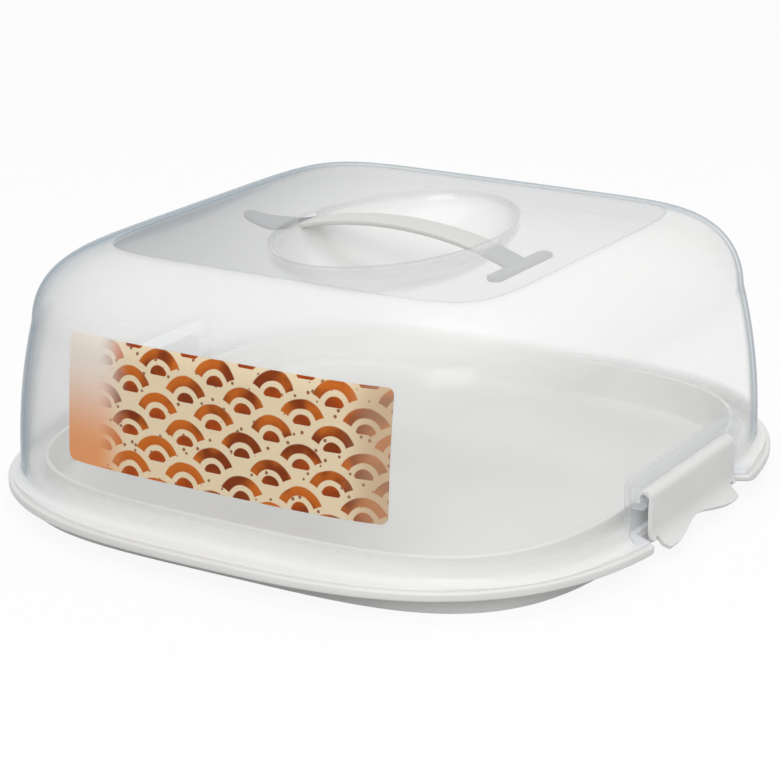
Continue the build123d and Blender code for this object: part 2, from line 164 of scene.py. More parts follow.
def whole_ring(quarter: Array) -> Array:
    """Mirror rows of one quarter, from the +X axis to the +Y axis, into closed rings.

    Args:
        quarter: Array (rows, columns, 3) whose first column is on +X and last on +Y.

    Returns:
        Array (rows, 4 * (columns - 1), 3) that runs once round.
    """
    back = quarter[:, ::-1]
    turns = (quarter, back * (-1, 1, 1), quarter * (-1, -1, 1), back * (1, -1, 1))
    return np.concatenate([turn[:, :-1] for turn in turns], axis=1)


def whole_line(quarter: Array) -> Array:
    """Mirror the (x, y) pairs of one quarter into a closed line."""
    return whole_ring(raised(quarter[None], 0.0))[0, :, :2]


def plan_normals(plan: Array) -> Array:
    """Unit normals, pointing outwards, of one closed anticlockwise (x, y) line.

    The way (dx, dy) between a point's two neighbours is turned to (dy, -dx) and made of length 1.

    Args:
        plan: Array (columns, 2) that runs once round.

    Returns:
        Array (columns, 2).
    """
    along = np.roll(plan, -1, axis=0) - np.roll(plan, 1, axis=0)
    normal = np.stack([along[:, 1], -along[:, 0]], axis=-1)
    return normal / np.linalg.norm(normal, axis=-1, keepdims=True)


def spread_rows(plan: Array, normal: Array, out: Array, height: Array) -> Array:
    """Rings that lie off a closed (x, y) line by distances along its normals, at their heights."""
    return raised(plan + np.asarray(out)[:, None, None] * normal, height)


def blend_rows(first: Array, last: Array, shares: tuple) -> Array:
    """Rows part of the way from one ring or point to a ring: first + share * (last - first)."""
    return first + np.array(shares)[:, None, None] * (last - first)


def grid(rows: int, columns: int) -> Array:
    """The point numbers of a grid."""
    return np.arange(rows * columns).reshape(rows, columns)


def ring_faces(rows: int, columns: int) -> tuple[Array, Array]:
    """Faces of a grid that closes round and ends in a pole at each end.

    Args:
        rows: Number of rings.
        columns: Number of points in a ring.

    Returns:
        The quads between the rings and the triangles of both poles.
    """
    index = grid(rows, columns)
    ahead = np.roll(index, -1, axis=1)
    quads = np.stack([index[:-1], ahead[:-1], ahead[1:], index[1:]], axis=-1).reshape(-1, 4)
    first = np.full(columns, rows * columns)
    start = np.stack([first, ahead[0], index[0]], axis=-1)
    end = np.stack([index[-1], ahead[-1], first + 1], axis=-1)
    return quads, np.concatenate([start, end])


def sheet_faces(rows: int, columns: int) -> Array:
    """Quads of a plain open grid.

    Args:
        rows: Number of rows of points.
        columns: Number of points in a row.

    Returns:
        Array (quads, 4) of point numbers.
    """
    index = grid(rows, columns)
    corners = [index[:-1, :-1], index[:-1, 1:], index[1:, 1:], index[1:, :-1]]
    return np.stack(corners, axis=-1).reshape(-1, 4)


# ---- meshes ------------------------------------------------------------------------------------
def placed(name: str, data: bpy.types.ID) -> Piece:
    """A new object at the origin, linked to the scene.

    Args:
        name: The object's name.
        data: Its mesh, lamp or camera.

    Returns:
        The new object.
    """
    piece = bpy.data.objects.new(name, data)
    bpy.context.scene.collection.objects.link(piece)
    return piece


def solid(name: str, points: Array, faces: list, merge: float = MERGE) -> Piece:
    """A closed mesh object, with doubles merged and every face turned outwards.

    Args:
        name: The object's name.
        points: Array (N, 3), in millimetres.
        faces: Lists of point numbers.
        merge: Distance in metres below which points become one.

    Returns:
        The new object, linked to the scene.
    """
    mesh = bpy.data.meshes.new(name)
    mesh.from_pydata((points * MM).tolist(), [], faces)
    shape = bmesh.new()
    shape.from_mesh(mesh)
    bmesh.ops.remove_doubles(shape, verts=shape.verts, dist=merge)
    bmesh.ops.dissolve_degenerate(shape, edges=shape.edges, dist=merge)
    bmesh.ops.recalc_face_normals(shape, faces=shape.faces)
    shape.to_mesh(mesh)
    shape.free()
    return placed(name, mesh)


def turned(name: str, rows: Array, start: tuple, end: tuple) -> Piece:
    """A closed solid from rings of points and the points of its two poles.

    Args:
        name: The object's name.
        rows: Array (rings, columns, 3), in millimetres.
        start: The pole before the first ring.
        end: The pole after the last ring.

    Returns:
        The new object.
    """
    quads, fans = ring_faces(*rows.shape[:2])
    points = np.concatenate([rows.reshape(-1, 3), [start, end]])
    return solid(name, points, quads.tolist() + fans.tolist())


def prism(name: str, outline: Array, y_low: float, y_high: float) -> Piece:
    """A closed solid: an (x, z) outline carried straight along Y.

    Args:
        name: The object's name.
        outline: Array (points, 2), in millimetres.
        y_low: Where the solid starts along Y.
        y_high: Where it ends.

    Returns:
        The new object.
    """
    count = len(outline)
    near = np.stack([outline[:, 0], np.full(count, y_low), outline[:, 1]], axis=-1)
    far = near + (0, y_high - y_low, 0)
    index = np.arange(count)
    ahead = np.roll(index, -1)
    sides = np.stack([index, ahead, ahead + count, index + count], axis=-1).tolist()
    caps = [index[::-1].tolist(), (index + count).tolist()]
    return solid(name, np.concatenate([near, far]), sides + caps)


def brick(name: str, low: tuple, high: tuple) -> Piece:
    """A cutting box given by its two corners."""
    outline = np.array([(low[0], low[2]), (high[0], low[2]), (high[0], high[2]), (low[0], high[2])])
    return prism(name, outline, low[1], high[1])


def apply_modifiers(piece: Piece) -> None:
    """Replace a piece's mesh by what its modifiers make of it.

    Args:
        piece: The piece, which loses its modifiers.
    """
    bpy.context.view_layer.update()
    graph = bpy.context.evaluated_depsgraph_get()
    mesh = bpy.data.meshes.new_from_object(piece.evaluated_get(graph))
    piece.modifiers.clear()
    piece.data = mesh


def combine(piece: Piece, others: list, cut: Cut) -> None:
    """Join solids to a piece, or cut them from it, and drop them.

    Args:
        piece: The piece that is changed.
        others: The other solids.
        cut: Whether they are joined to the piece or cut from it.
    """
    for other in others:
        change = piece.modifiers.new("change", "BOOLEAN")
        change.operation = cut.value
        change.solver = "MANIFOLD"
        change.object = other
        apply_modifiers(piece)
        bpy.data.objects.remove(other)


def mirrored(piece: Piece, name: str) -> Piece:
    """A copy of a piece on the other side of the YZ plane, with its faces turned back outwards.

    Args:
        piece: The piece, which stays as it is.
        name: The copy's name.

    Returns:
        The copy, linked to the scene.
    """
    mesh = piece.data.copy()
    mesh.transform(Matrix.Scale(-1, 4, (1, 0, 0)))
    mesh.flip_normals()
    return placed(name, mesh)


def dress(piece: Piece, crisp: float, material: Material) -> None:
    """Give a piece its material and smooth shading.

    Args:
        piece: The piece.
        crisp: Angle in degrees above which an edge stays crisp.
        material: The only material of the piece.
    """
    mesh = piece.data
    mesh.polygons.foreach_set("use_smooth", np.ones(len(mesh.polygons), bool))
    mesh.set_sharp_from_angle(angle=math.radians(crisp))
    mesh.update()
    mesh.materials.clear()
    mesh.materials.append(material)


# ---- finishes ----------------------------------------------------------------------------------
class NodeDesk:
    """A short way to lay out shader nodes in one tree."""

    def __init__(self, tree: Tree) -> None:
        """Keep the tree that the nodes go into."""
        self.tree = tree

    def feed(self, node: Node, name: str | int, value: Value | tuple) -> None:
        """Link an output to a node's input, or set the input's own value.

        Args:
            node: The node.
            name: The input's name or number.
            value: The output to link, or the value to set.
        """
        if isinstance(value, Socket):
            self.tree.links.new(value, node.inputs[name])
        else:
            node.inputs[name].default_value = value

    def add(self, kind: str, inputs: dict | None = None, **settings: object) -> Node:
        """Add a node.

        Args:
            kind: The node's type name without its ShaderNode prefix.
            inputs: Socket names or numbers, each with a value or an output to link.
            settings: Properties of the node.

        Returns:
            The new node.
        """
        node = self.tree.nodes.new(f"ShaderNode{kind}")
        for name, value in settings.items():
            setattr(node, name, value)
        for name, value in (inputs or {}).items():
            self.feed(node, name, value)
        return node

    def place(self) -> list[Socket]:
        """The X, Y and Z of the place on the object, in metres."""
        split = self.add("SeparateXYZ", {0: self.add("TexCoord").outputs["Object"]})
        return list(split.outputs)

    def sum(self, operation: str, *values: Value, clamp: bool = False) -> Socket:
        """One step of arithmetic on values or outputs."""
        node = self.add("Math", dict(enumerate(values)), operation=operation, use_clamp=clamp)
        return node.outputs[0]

    def madd(self, value: Value, factor: Value, added: Value) -> Socket:
        """A value times a factor, plus another value."""
        return self.sum("MULTIPLY_ADD", value, factor, added)

    def times(self, *values: Value) -> Socket:
        """The product of several values."""
        return reduce(lambda first, second: self.sum("MULTIPLY", first, second), values)

    def most(self, first: Value, second: Value) -> Socket:
        """The greater of two values."""
        return self.sum("MAXIMUM", first, second)

    def rest(self, value: Value) -> Socket:
        """What a share leaves over: 1 - value."""
        return self.sum("SUBTRACT", 1.0, value)

    def mix(self, share: Value, first: Colour, second: Colour) -> Socket:
        """Mix two colours by a share. Each is an (r, g, b) tuple or an output.

        Args:
            share: 0 for the first colour, and 1 for the second.
            first: The first colour.
            second: The second colour.

        Returns:
            The mixed colour.
        """
        node = self.add("Mix", data_type="RGBA")
        self.feed(node, 0, share)
        for number, value in ((6, first), (7, second)):
            self.feed(node, number, value if isinstance(value, Socket) else (*value, 1.0))
        return node.outputs[2]

    def mix_value(self, share: Value, first: Value, second: Value) -> Socket:
        """Mix two plain values by a share."""
        return self.madd(share, self.sum("SUBTRACT", second, first), first)

    def step(self, value: Value, low: float, high: float) -> Socket:
        """A smooth step from 0 at low to 1 at high, where low may be the greater."""
        settings = {"Value": value, "From Min": low, "From Max": high}
        return self.add("MapRange", settings, interpolation_type="SMOOTHSTEP").outputs[0]

    def step_out(self, value: Value, low: float, high: float) -> Socket:
        """A smooth step on the distance from 0."""
        return self.step(self.sum("ABSOLUTE", value), low, high)


def mould_texture() -> Tree:
    """The fine skin of a moulding, shared by every plastic.

    Two noises on Object coordinates: a broad one gives the slow change of tone from the flow of
    the plastic, and a fine one gives the height of the eroded mould's grain.

    Returns:
        The node group with outputs Flow, which is the broad noise itself, Tone, which is the same
        stretched to run from 0 to 1, and Height.
    """
    group = bpy.data.node_groups.new("mould_texture", "ShaderNodeTree")
    for name, value in (("Flow scale", 14.0), ("Grain scale", 2600.0)):
        socket = group.interface.new_socket(name, in_out="INPUT", socket_type="NodeSocketFloat")
        socket.default_value = value
    for name in ("Flow", "Tone", "Height"):
        group.interface.new_socket(name, in_out="OUTPUT", socket_type="NodeSocketFloat")
    desk = NodeDesk(group)
    given = group.nodes.new("NodeGroupInput").outputs
    made = group.nodes.new("NodeGroupOutput")
    place = desk.add("TexCoord").outputs["Object"]
    flow = desk.add("TexNoise", {"Vector": place, "Scale": given["Flow scale"], "Detail": 2.0})
    grain = desk.add("TexNoise", {"Vector": place, "Scale": given["Grain scale"], "Detail": 1.0})
    desk.feed(made, "Flow", flow.outputs["Fac"])
    desk.feed(made, "Tone", desk.step(flow.outputs["Fac"], *TONE_LIMITS))
    desk.feed(made, "Height", grain.outputs["Fac"])
    return group


def new_material(name: str) -> tuple[Material, NodeDesk, Node, Node]:
    """A material with a Principled shader.

    Args:
        name: The material's name.

    Returns:
        The material, a desk on its tree, the shader and the output node.
    """
    material = bpy.data.materials.new(name)
    material.use_nodes = True
    nodes = material.node_tree.nodes
    shader = next(node for node in nodes if node.type == "BSDF_PRINCIPLED")
    output = next(node for node in nodes if node.type == "OUTPUT_MATERIAL")
    return material, NodeDesk(material.node_tree), shader, output


@dataclass(frozen=True)
class WhitePlastic:
    """Opaque white polypropylene with a satin moulded skin."""

    name: str
    light: tuple = (0.83, 0.835, 0.82)
    dark: tuple = (0.78, 0.785, 0.765)
    roughness: float = 0.30
    duller: float = 0.08
    grain: float = 0.00002
    grain_strength: float = 0.35

    def _colour(self, desk: NodeDesk, tone: Socket) -> Socket:
        """The colour, which drifts with the tone."""
        return desk.mix(tone, self.dark, self.light)

    def material(self, texture: Tree) -> Material:
        """Build the material, whose tone drifts and whose gloss is broken by fine grain.

        Args:
            texture: The shared mould texture.

        Returns:
            The material.
        """
        material, desk, shader, _ = new_material(self.name)
        skin = desk.add("Group", node_tree=texture).outputs
        grain = {"Height": skin["Height"], "Distance": self.grain, "Strength": self.grain_strength}
        desk.feed(shader, "Base Color", self._colour(desk, skin["Tone"]))
        desk.feed(shader, "Roughness", desk.madd(skin["Tone"], self.duller, self.roughness))
        desk.feed(shader, "Normal", desk.add("Bump", grain).outputs["Normal"])
        return material


@dataclass(frozen=True)
class StrapPlastic(WhitePlastic):
    """Soft warm white plastic, with painted shade where it lies below the lid's skin."""

    light: tuple = (0.71, 0.705, 0.68)
    # Painted shade: the dark grey stands for the strap's ends lying in shade below the lid's skin.
    dark: tuple = (0.33, 0.34, 0.35)
    roughness: float = 0.42
    duller: float = 0.06
    grain_strength: float = 0.4
    slot: tuple = (0.0485, 0.0525)

    def _colour(self, desk: NodeDesk, tone: Socket) -> Socket:
        """The colour, with painted shade on the strap past the lid's slots, below the lid's skin.
        """
        return desk.mix(desk.step_out(desk.place()[0], *self.slot), self.light, self.dark)


# The milk's colours carry painted shade on the left side, on the flat top, in the bowl and in the
# clip pockets.
@dataclass(frozen=True)
class ClearPlastic:
    """Milky clear polypropylene: hazy face on, and bluer and denser where it is seen edge on.

    The pairs are the limits of smooth steps: heights and places in metres, or reaches, which
    are 1 on the outline of the bowl or of the flat top. A slant is the share of one axis that is
    added to the other before a step, so that the step runs askew.
    """

    name: str
    face: tuple = (0.94, 0.94, 0.93)
    # Painted shade on the left side, lighter low on the wall and darker over the shoulder.
    low_painted_shade: tuple = (0.85, 0.86, 0.865)
    high_painted_shade: tuple = (0.66, 0.675, 0.685)
    # The bowl: painted shade on its left, fading to its lit face on the right.
    bowl_face: tuple = (0.90, 0.905, 0.90)
    bowl_painted_shade: tuple = (0.77, 0.78, 0.785)
    # The flat top: painted shade of the shaded inside seen through it, and painted light to the
    # right.
    panel_painted_shade: tuple = (0.40, 0.41, 0.42)
    panel_painted_light: tuple = (0.74, 0.745, 0.75)
    # Painted shade, greyer and bluer, in the clip pockets.
    pocket_painted_shade: tuple = (0.86, 0.875, 0.91)
    # Where the skin turns edge on the milk is denser and bluer; on the left the band is widened as
    # painted shade.
    edge_tint_and_shade: tuple = (0.22, 0.33, 0.40)

    wall_haze: float = 0.06
    side_haze: float = 0.32
    edge_haze: float = 0.90
    shoulder_haze: float = 0.34
    panel_haze: float = 0.34
    foot_haze: float = 0.90
    bowl_haze: tuple = (0.05, 1.10)
    pocket_haze: float = 0.24
    line_haze: float = 0.45
    drift_haze: float = 0.02
    shadow: float = 0.15
    index: float = 1.5
    roughness: float = 0.14
    duller: float = 0.05
    specular: tuple = (0.5, 0.05)

    slant: float = 0.6
    # Where the left side's painted shade begins and where it is full, along X.
    side: tuple = (-0.06, -0.14)
    rise: tuple = (0.075, 0.120)
    foot: tuple = (0.0275, 0.0185)
    # Where the flat top's painted shade turns to painted light, askew across it.
    panel_painted_light_from: tuple = (-0.14, 0.0)
    # Where the bowl's painted shade turns to its lit face, askew across it.
    bowl_painted_light_from: tuple = (-0.075, -0.030)
    far: tuple = (-0.045, 0.015)
    panel_size: tuple = (0.1035, 0.1077, 7.5)
    panel_in: tuple = (1.002, 0.998)
    panel_above: tuple = (0.117, 0.119)
    crease: tuple = ((0.982, 0.994), (1.004, 1.0), (0.1252, 0.1256))
    crease_share: float = 0.55
    bowl_size: tuple = (0.0505, 0.0810, 2.0)
    bowl_in: tuple = (1.0, 0.985)
    bowl_above: tuple = (0.080, 0.085)
    lip: tuple = ((0.980, 0.995), (1.015, 1.0), (0.1246, 0.1250))
    lip_share: float = 0.9
    pocket: tuple = ((0.135, 0.139), (0.0625, 0.0595), (0.0470, 0.0445))
    no_edge: tuple = ((0.125, 0.135), (0.072, 0.060), (0.062, 0.050))
    # The edge-on band starts sooner on the left as painted shade, where less light falls.
    edge_shaded_left: tuple = (-0.08, -0.15)
    edge_sooner: float = 0.12
    edge_facing: tuple = (0.75, 0.88)
    edge_above: tuple = (0.0150, 0.0200)

    def material(self, texture: Tree) -> Material:
        """Build the material.

        The haze is 1 - exp(-k / c), with c the cosine of the bent way through the plastic, which
        is the root of 1 - (1 - cos^2) / n^2 for the index n. The strength k is low on the wall,
        and higher at the wall's foot, over the shoulder, in the pockets, on the flat top and in
        the bowl's far half. Light that lands on other things meets only a share of the haze, as
        the milk scatters most of it onwards.

        Args:
            texture: The shared mould texture.

        Returns:
            The material.
        """
        material, desk, shader, _ = new_material(self.name)
        tone = desk.add("Group", node_tree=texture).outputs["Tone"]
        facing = desk.add("LayerWeight", {"Blend": 0.5}).outputs["Facing"]
        masks = self._masks(desk, facing)
        desk.feed(shader, "Base Color", self._colour(desk, masks))
        straight = desk.rest(facing)
        bent = 1 / self.index**2
        cosine = desk.sum("SQRT", desk.madd(desk.times(straight, straight), bent, 1 - bent))
        depth = desk.sum("DIVIDE", self._strength(desk, masks, tone), cosine)
        haze = desk.rest(desk.sum("EXPONENT", desk.times(depth, -1.0)))
        path = desk.add("LightPath").outputs
        seen = desk.most(path["Is Camera Ray"], path["Is Glossy Ray"])
        desk.feed(shader, "Alpha", desk.times(haze, desk.mix_value(seen, self.shadow, 1.0)))
        desk.feed(shader, "Specular IOR Level", desk.mix_value(masks["edge"], *self.specular))
        desk.feed(shader, "Roughness", desk.madd(tone, self.duller, self.roughness))
        return material

    def _masks(self, desk: NodeDesk, facing: Socket) -> dict[str, Socket]:
        """Lay out the masks of the lid's regions.

        Args:
            desk: The desk of the material.
            facing: 0 where the plastic is seen face on, and 1 where it is seen edge on.

        Returns:
            Masks by name. The edge is where the wall turns edge on, sooner on the left as painted
            shade. The line is the crease round the flat top and the bowl's near lip.
        """
        x, y, z = place = desk.place()
        across = desk.madd(y, self.slant, x)
        far = desk.step(desk.madd(x, -self.slant, y), *self.far)
        panel_reach = self._reach(desk, place, self.panel_size)
        bowl_reach = self._reach(desk, place, self.bowl_size)
        top = desk.times(desk.step(panel_reach, *self.panel_in), desk.step(z, *self.panel_above))
        bowl = desk.times(desk.step(bowl_reach, *self.bowl_in), desk.step(z, *self.bowl_above))
        crease = desk.times(self._line(desk, panel_reach, z, self.crease), self.crease_share)
        near = desk.sum("SUBTRACT", self.lip_share, far, clamp=True)
        lip = desk.times(self._line(desk, bowl_reach, z, self.lip), near)
        # Painted shade: the edge-on band starts sooner on the left.
        sooner = desk.madd(desk.step(x, *self.edge_shaded_left), self.edge_sooner, facing)
        edge = desk.times(
            desk.step(sooner, *self.edge_facing),
            desk.step(z, *self.edge_above),
            desk.rest(self._recess(desk, place, self.no_edge)),
            desk.rest(desk.most(top, bowl)),
        )
        return {
            "far": far,
            "top": top,
            "bowl": bowl,
            "line": desk.most(lip, crease),
            "edge": edge,
            # The left side, which takes painted shade and a thicker haze.
            "side": desk.step(x, *self.side),
            "rise": desk.step(z, *self.rise),
            "foot": desk.step(z, *self.foot),
            "pocket": self._recess(desk, place, self.pocket),
            "panel painted light": desk.step(across, *self.panel_painted_light_from),
            "bowl painted light": desk.step(across, *self.bowl_painted_light_from),
        }

    def _colour(self, desk: NodeDesk, masks: dict[str, Socket]) -> Socket:
        """The colour of the milk in each region, with painted shade on the left side, on the flat
        top, in the bowl and in the clip pockets.

        Args:
            desk: The desk of the material.
            masks: The masks by name.

        Returns:
            The colour's output.
        """
        # Painted shade on the left side, where less light falls.
        shade = desk.mix(masks["rise"], self.low_painted_shade, self.high_painted_shade)
        colour = desk.mix(masks["side"], self.face, shade)
        # The flat top: painted shade on the left, painted light on the right.
        panel = desk.mix(masks["panel painted light"], self.panel_painted_shade, self.panel_painted_light)
        colour = desk.mix(masks["top"], colour, panel)
        # The bowl: painted shade on the left, lit face on the right.
        hollow = desk.mix(masks["bowl painted light"], self.bowl_painted_shade, self.bowl_face)
        colour = desk.mix(masks["bowl"], colour, hollow)
        # Painted shade in the clip pockets.
        colour = desk.mix(masks["pocket"], colour, self.pocket_painted_shade)
        # Edge-on colour, denser and bluer, with painted shade widening it on the left.
        return desk.mix(desk.most(masks["edge"], masks["line"]), colour, self.edge_tint_and_shade)

    def _strength(self, desk: NodeDesk, masks: dict[str, Socket], tone: Socket) -> Socket:
        """The haze's strength in each region.

        Args:
            desk: The desk of the material.
            masks: The masks by name.
            tone: The mould texture's tone, from 0 to 1.

        Returns:
            The strength's output.
        """
        strength = desk.mix_value(masks["rise"], self.wall_haze, self.shoulder_haze)
        strength = desk.madd(masks["side"], self.side_haze, strength)
        strength = desk.mix_value(masks["edge"], strength, self.edge_haze)
        strength = desk.mix_value(masks["foot"], strength, self.foot_haze)
        strength = desk.madd(masks["pocket"], self.pocket_haze, strength)
        strength = desk.madd(tone, self.drift_haze, strength)
        strength = desk.mix_value(masks["top"], strength, self.panel_haze)
        bowl = desk.mix_value(masks["far"], *self.bowl_haze)
        strength = desk.mix_value(masks["bowl"], strength, bowl)
        return desk.mix_value(masks["line"], strength, self.line_haze)

    @staticmethod
    def _reach(desk: NodeDesk, place: list[Socket], size: tuple) -> Socket:
        """How far out a point lies in a superellipse: the n-th root of |x/a|^n + |y/b|^n.

        Args:
            desk: The desk of the material.
            place: X, Y and Z on the object, in metres.
            size: Half sizes and power of the superellipse.

        Returns:
            The reach, which is 1 on the outline.
        """
        power = size[2]
        away = [desk.sum("ABSOLUTE", value) for value in place[:2]]
        shares = [desk.sum("DIVIDE", value, half) for value, half in zip(away, size)]
        total = desk.sum("ADD", *[desk.sum("POWER", share, power) for share in shares])
        return desk.sum("POWER", total, 1.0 / power)

    @staticmethod
    def _line(desk: NodeDesk, reach: Socket, z: Socket, limits: tuple) -> Socket:
        """1 between two reaches and above a height, from the limits of its three steps."""
        pairs = zip((reach, reach, z), limits)
        return desk.times(*[desk.step(value, *pair) for value, pair in pairs])

    @staticmethod
    def _recess(desk: NodeDesk, place: list[Socket], limits: tuple) -> Socket:
        """1 in a box at each clip, from the limits of its steps out in X, in Y and in height.

        Args:
            desk: The desk of the material.
            place: X, Y and Z on the object, in metres.
            limits: The limits of the three steps.

        Returns:
            The mask's output.
        """
        x, y, z = place
        out = desk.times(desk.step_out(x, *limits[0]), desk.step_out(y, *limits[1]))
        return desk.times(out, desk.step(z, *limits[2]))


@dataclass(frozen=True)
class PrintedFilm:
    """A printed film with overlapping scallops in caramel and cream, and a plain pale left end.

    The pairs are the limits of smooth steps: across and up the film as shares, from the middle of
    a scallop as shares of its radius, and on the noise.
    """

    name: str
    pitch: float = 0.030
    row: float = 0.0098
    caramel: tuple = (0.40, 0.062, 0.006)
    amber: tuple = (0.60, 0.15, 0.018)
    cream: tuple = (0.84, 0.69, 0.47)
    nut: tuple = (0.22, 0.038, 0.006)
    pale_low: tuple = (0.84, 0.36, 0.15)
    pale_high: tuple = (0.88, 0.80, 0.72)
    right_end: tuple = (0.50, 0.32, 0.20)
    roughness: float = 0.42
    specular: float = 0.12

    flow_scale: float = 60.0
    amber_from: tuple = (0.1, 0.75)
    nut_from: tuple = (0.42, 0.66)
    pale_rise: tuple = (0.1, 0.9)
    pale_before: tuple = (0.22, 0.10)
    right_from: tuple = (0.86, 0.97)
    right_share: float = 0.6
    wander: float = 0.16
    rim: tuple = (0.75, 0.79)
    arc: float = 0.40
    arc_half: tuple = (0.10, 0.07)
    crumb_scale: float = 210.0
    crumb: tuple = (0.20, 0.15)
    crumb_share: float = 0.85

    def material(self, texture: Tree, low: tuple, high: tuple) -> Material:
        """Build the material.

        Args:
            texture: The shared mould texture.
            low: The lowest (x, z) of the film, in millimetres.
            high: The highest (x, z) of the film.

        Returns:
            The material. Its pattern is laid out across the film's own width and height.
        """
        material, desk, shader, _ = new_material(self.name)
        x, _, z = desk.place()
        across = self._share(desk, x, low[0], high[0])
        upward = self._share(desk, z, low[1], high[1])
        reach = self._scallops(desk, x, z)
        skin = desk.add("Group", {"Flow scale": self.flow_scale}, node_tree=texture)
        flow = skin.outputs["Flow"]
        baked = desk.mix(desk.step(reach, *self.amber_from), self.caramel, self.amber)
        baked = desk.mix(desk.step(flow, *self.nut_from), baked, self.nut)
        icing = self._icing(desk, reach, flow)
        body = desk.mix(icing, baked, self.cream)
        body = desk.mix(self._crumbs(desk, icing), body, self.nut)
        pale = desk.mix(desk.step(upward, *self.pale_rise), self.pale_low, self.pale_high)
        body = desk.mix(desk.step(across, *self.pale_before), body, pale)
        right = desk.times(desk.step(across, *self.right_from), self.right_share)
        desk.feed(shader, "Base Color", desk.mix(right, body, self.right_end))
        desk.feed(shader, "Roughness", self.roughness)
        desk.feed(shader, "Specular IOR Level", self.specular)
        return material

    @staticmethod
    def _share(desk: NodeDesk, value: Socket, low: float, high: float) -> Socket:
        """How far a coordinate has gone from low to high."""
        settings = {"Value": value, "From Min": low * MM, "From Max": high * MM}
        return desk.add("MapRange", settings).outputs[0]

    def _disc(self, desk: NodeDesk, x: Socket, row: Socket, rise: Socket) -> Socket:
        """Distance to the nearest disc centre of a row, in disc radii: the root of x^2 + z^2.

        Args:
            desk: The desk of the material.
            x: The place across, in pitches.
            row: The row's number.
            rise: The height above the row's centres, in rows.

        Returns:
            The distance's output.
        """
        shifted = desk.sum("FRACT", desk.madd(row, 0.5, x))
        side = desk.times(desk.sum("SUBTRACT", shifted, 0.5), 2.0)
        tall = desk.times(rise, 2.0 * self.row / self.pitch)
        return desk.sum("SQRT", desk.madd(side, side, desk.times(tall, tall)))

    def _scallops(self, desk: NodeDesk, x: Socket, z: Socket) -> Socket:
        """How far out in its disc a point lies, where each row of discs covers the row above it.

        Args:
            desk: The desk of the material.
            x: The place across, in metres.
            z: The height, in metres.

        Returns:
            The distance from the middle of the uppermost disc, in disc radii.
        """
        wide = desk.sum("DIVIDE", x, self.pitch)
        tall = desk.sum("DIVIDE", z, self.row)
        row = desk.sum("FLOOR", tall)
        rise = desk.sum("FRACT", tall)
        own = self._disc(desk, wide, row, rise)
        below = self._disc(desk, wide, desk.sum("SUBTRACT", row, 1.0), desk.sum("ADD", rise, 1.0))
        return desk.mix_value(desk.sum("LESS_THAN", below, 1.0), own, below)

    def _icing(self, desk: NodeDesk, reach: Socket, flow: Socket) -> Socket:
        """1 on a scallop's broad rim and on its inner arc, with edges that wander a little.

        Args:
            desk: The desk of the material.
            reach: How far out in its disc a point lies.
            flow: The broad noise.

        Returns:
            The mask's output.
        """
        reach = desk.sum("ADD", reach, desk.madd(flow, self.wander, -self.wander / 2))
        arc = desk.step_out(desk.sum("SUBTRACT", reach, self.arc), *self.arc_half)
        return desk.most(desk.step(reach, *self.rim), arc)

    def _crumbs(self, desk: NodeDesk, icing: Socket) -> Socket:
        """1 on scattered specks that lie on the icing, by the distance in a cell pattern.

        Args:
            desk: The desk of the material.
            icing: The mask of the icing.

        Returns:
            The mask's output.
        """
        place = desk.add("TexCoord").outputs["Object"]
        cells = desk.add("TexVoronoi", {"Vector": place, "Scale": self.crumb_scale})
        speck = desk.step(cells.outputs["Distance"], *self.crumb)
        return desk.times(speck, icing, self.crumb_share)


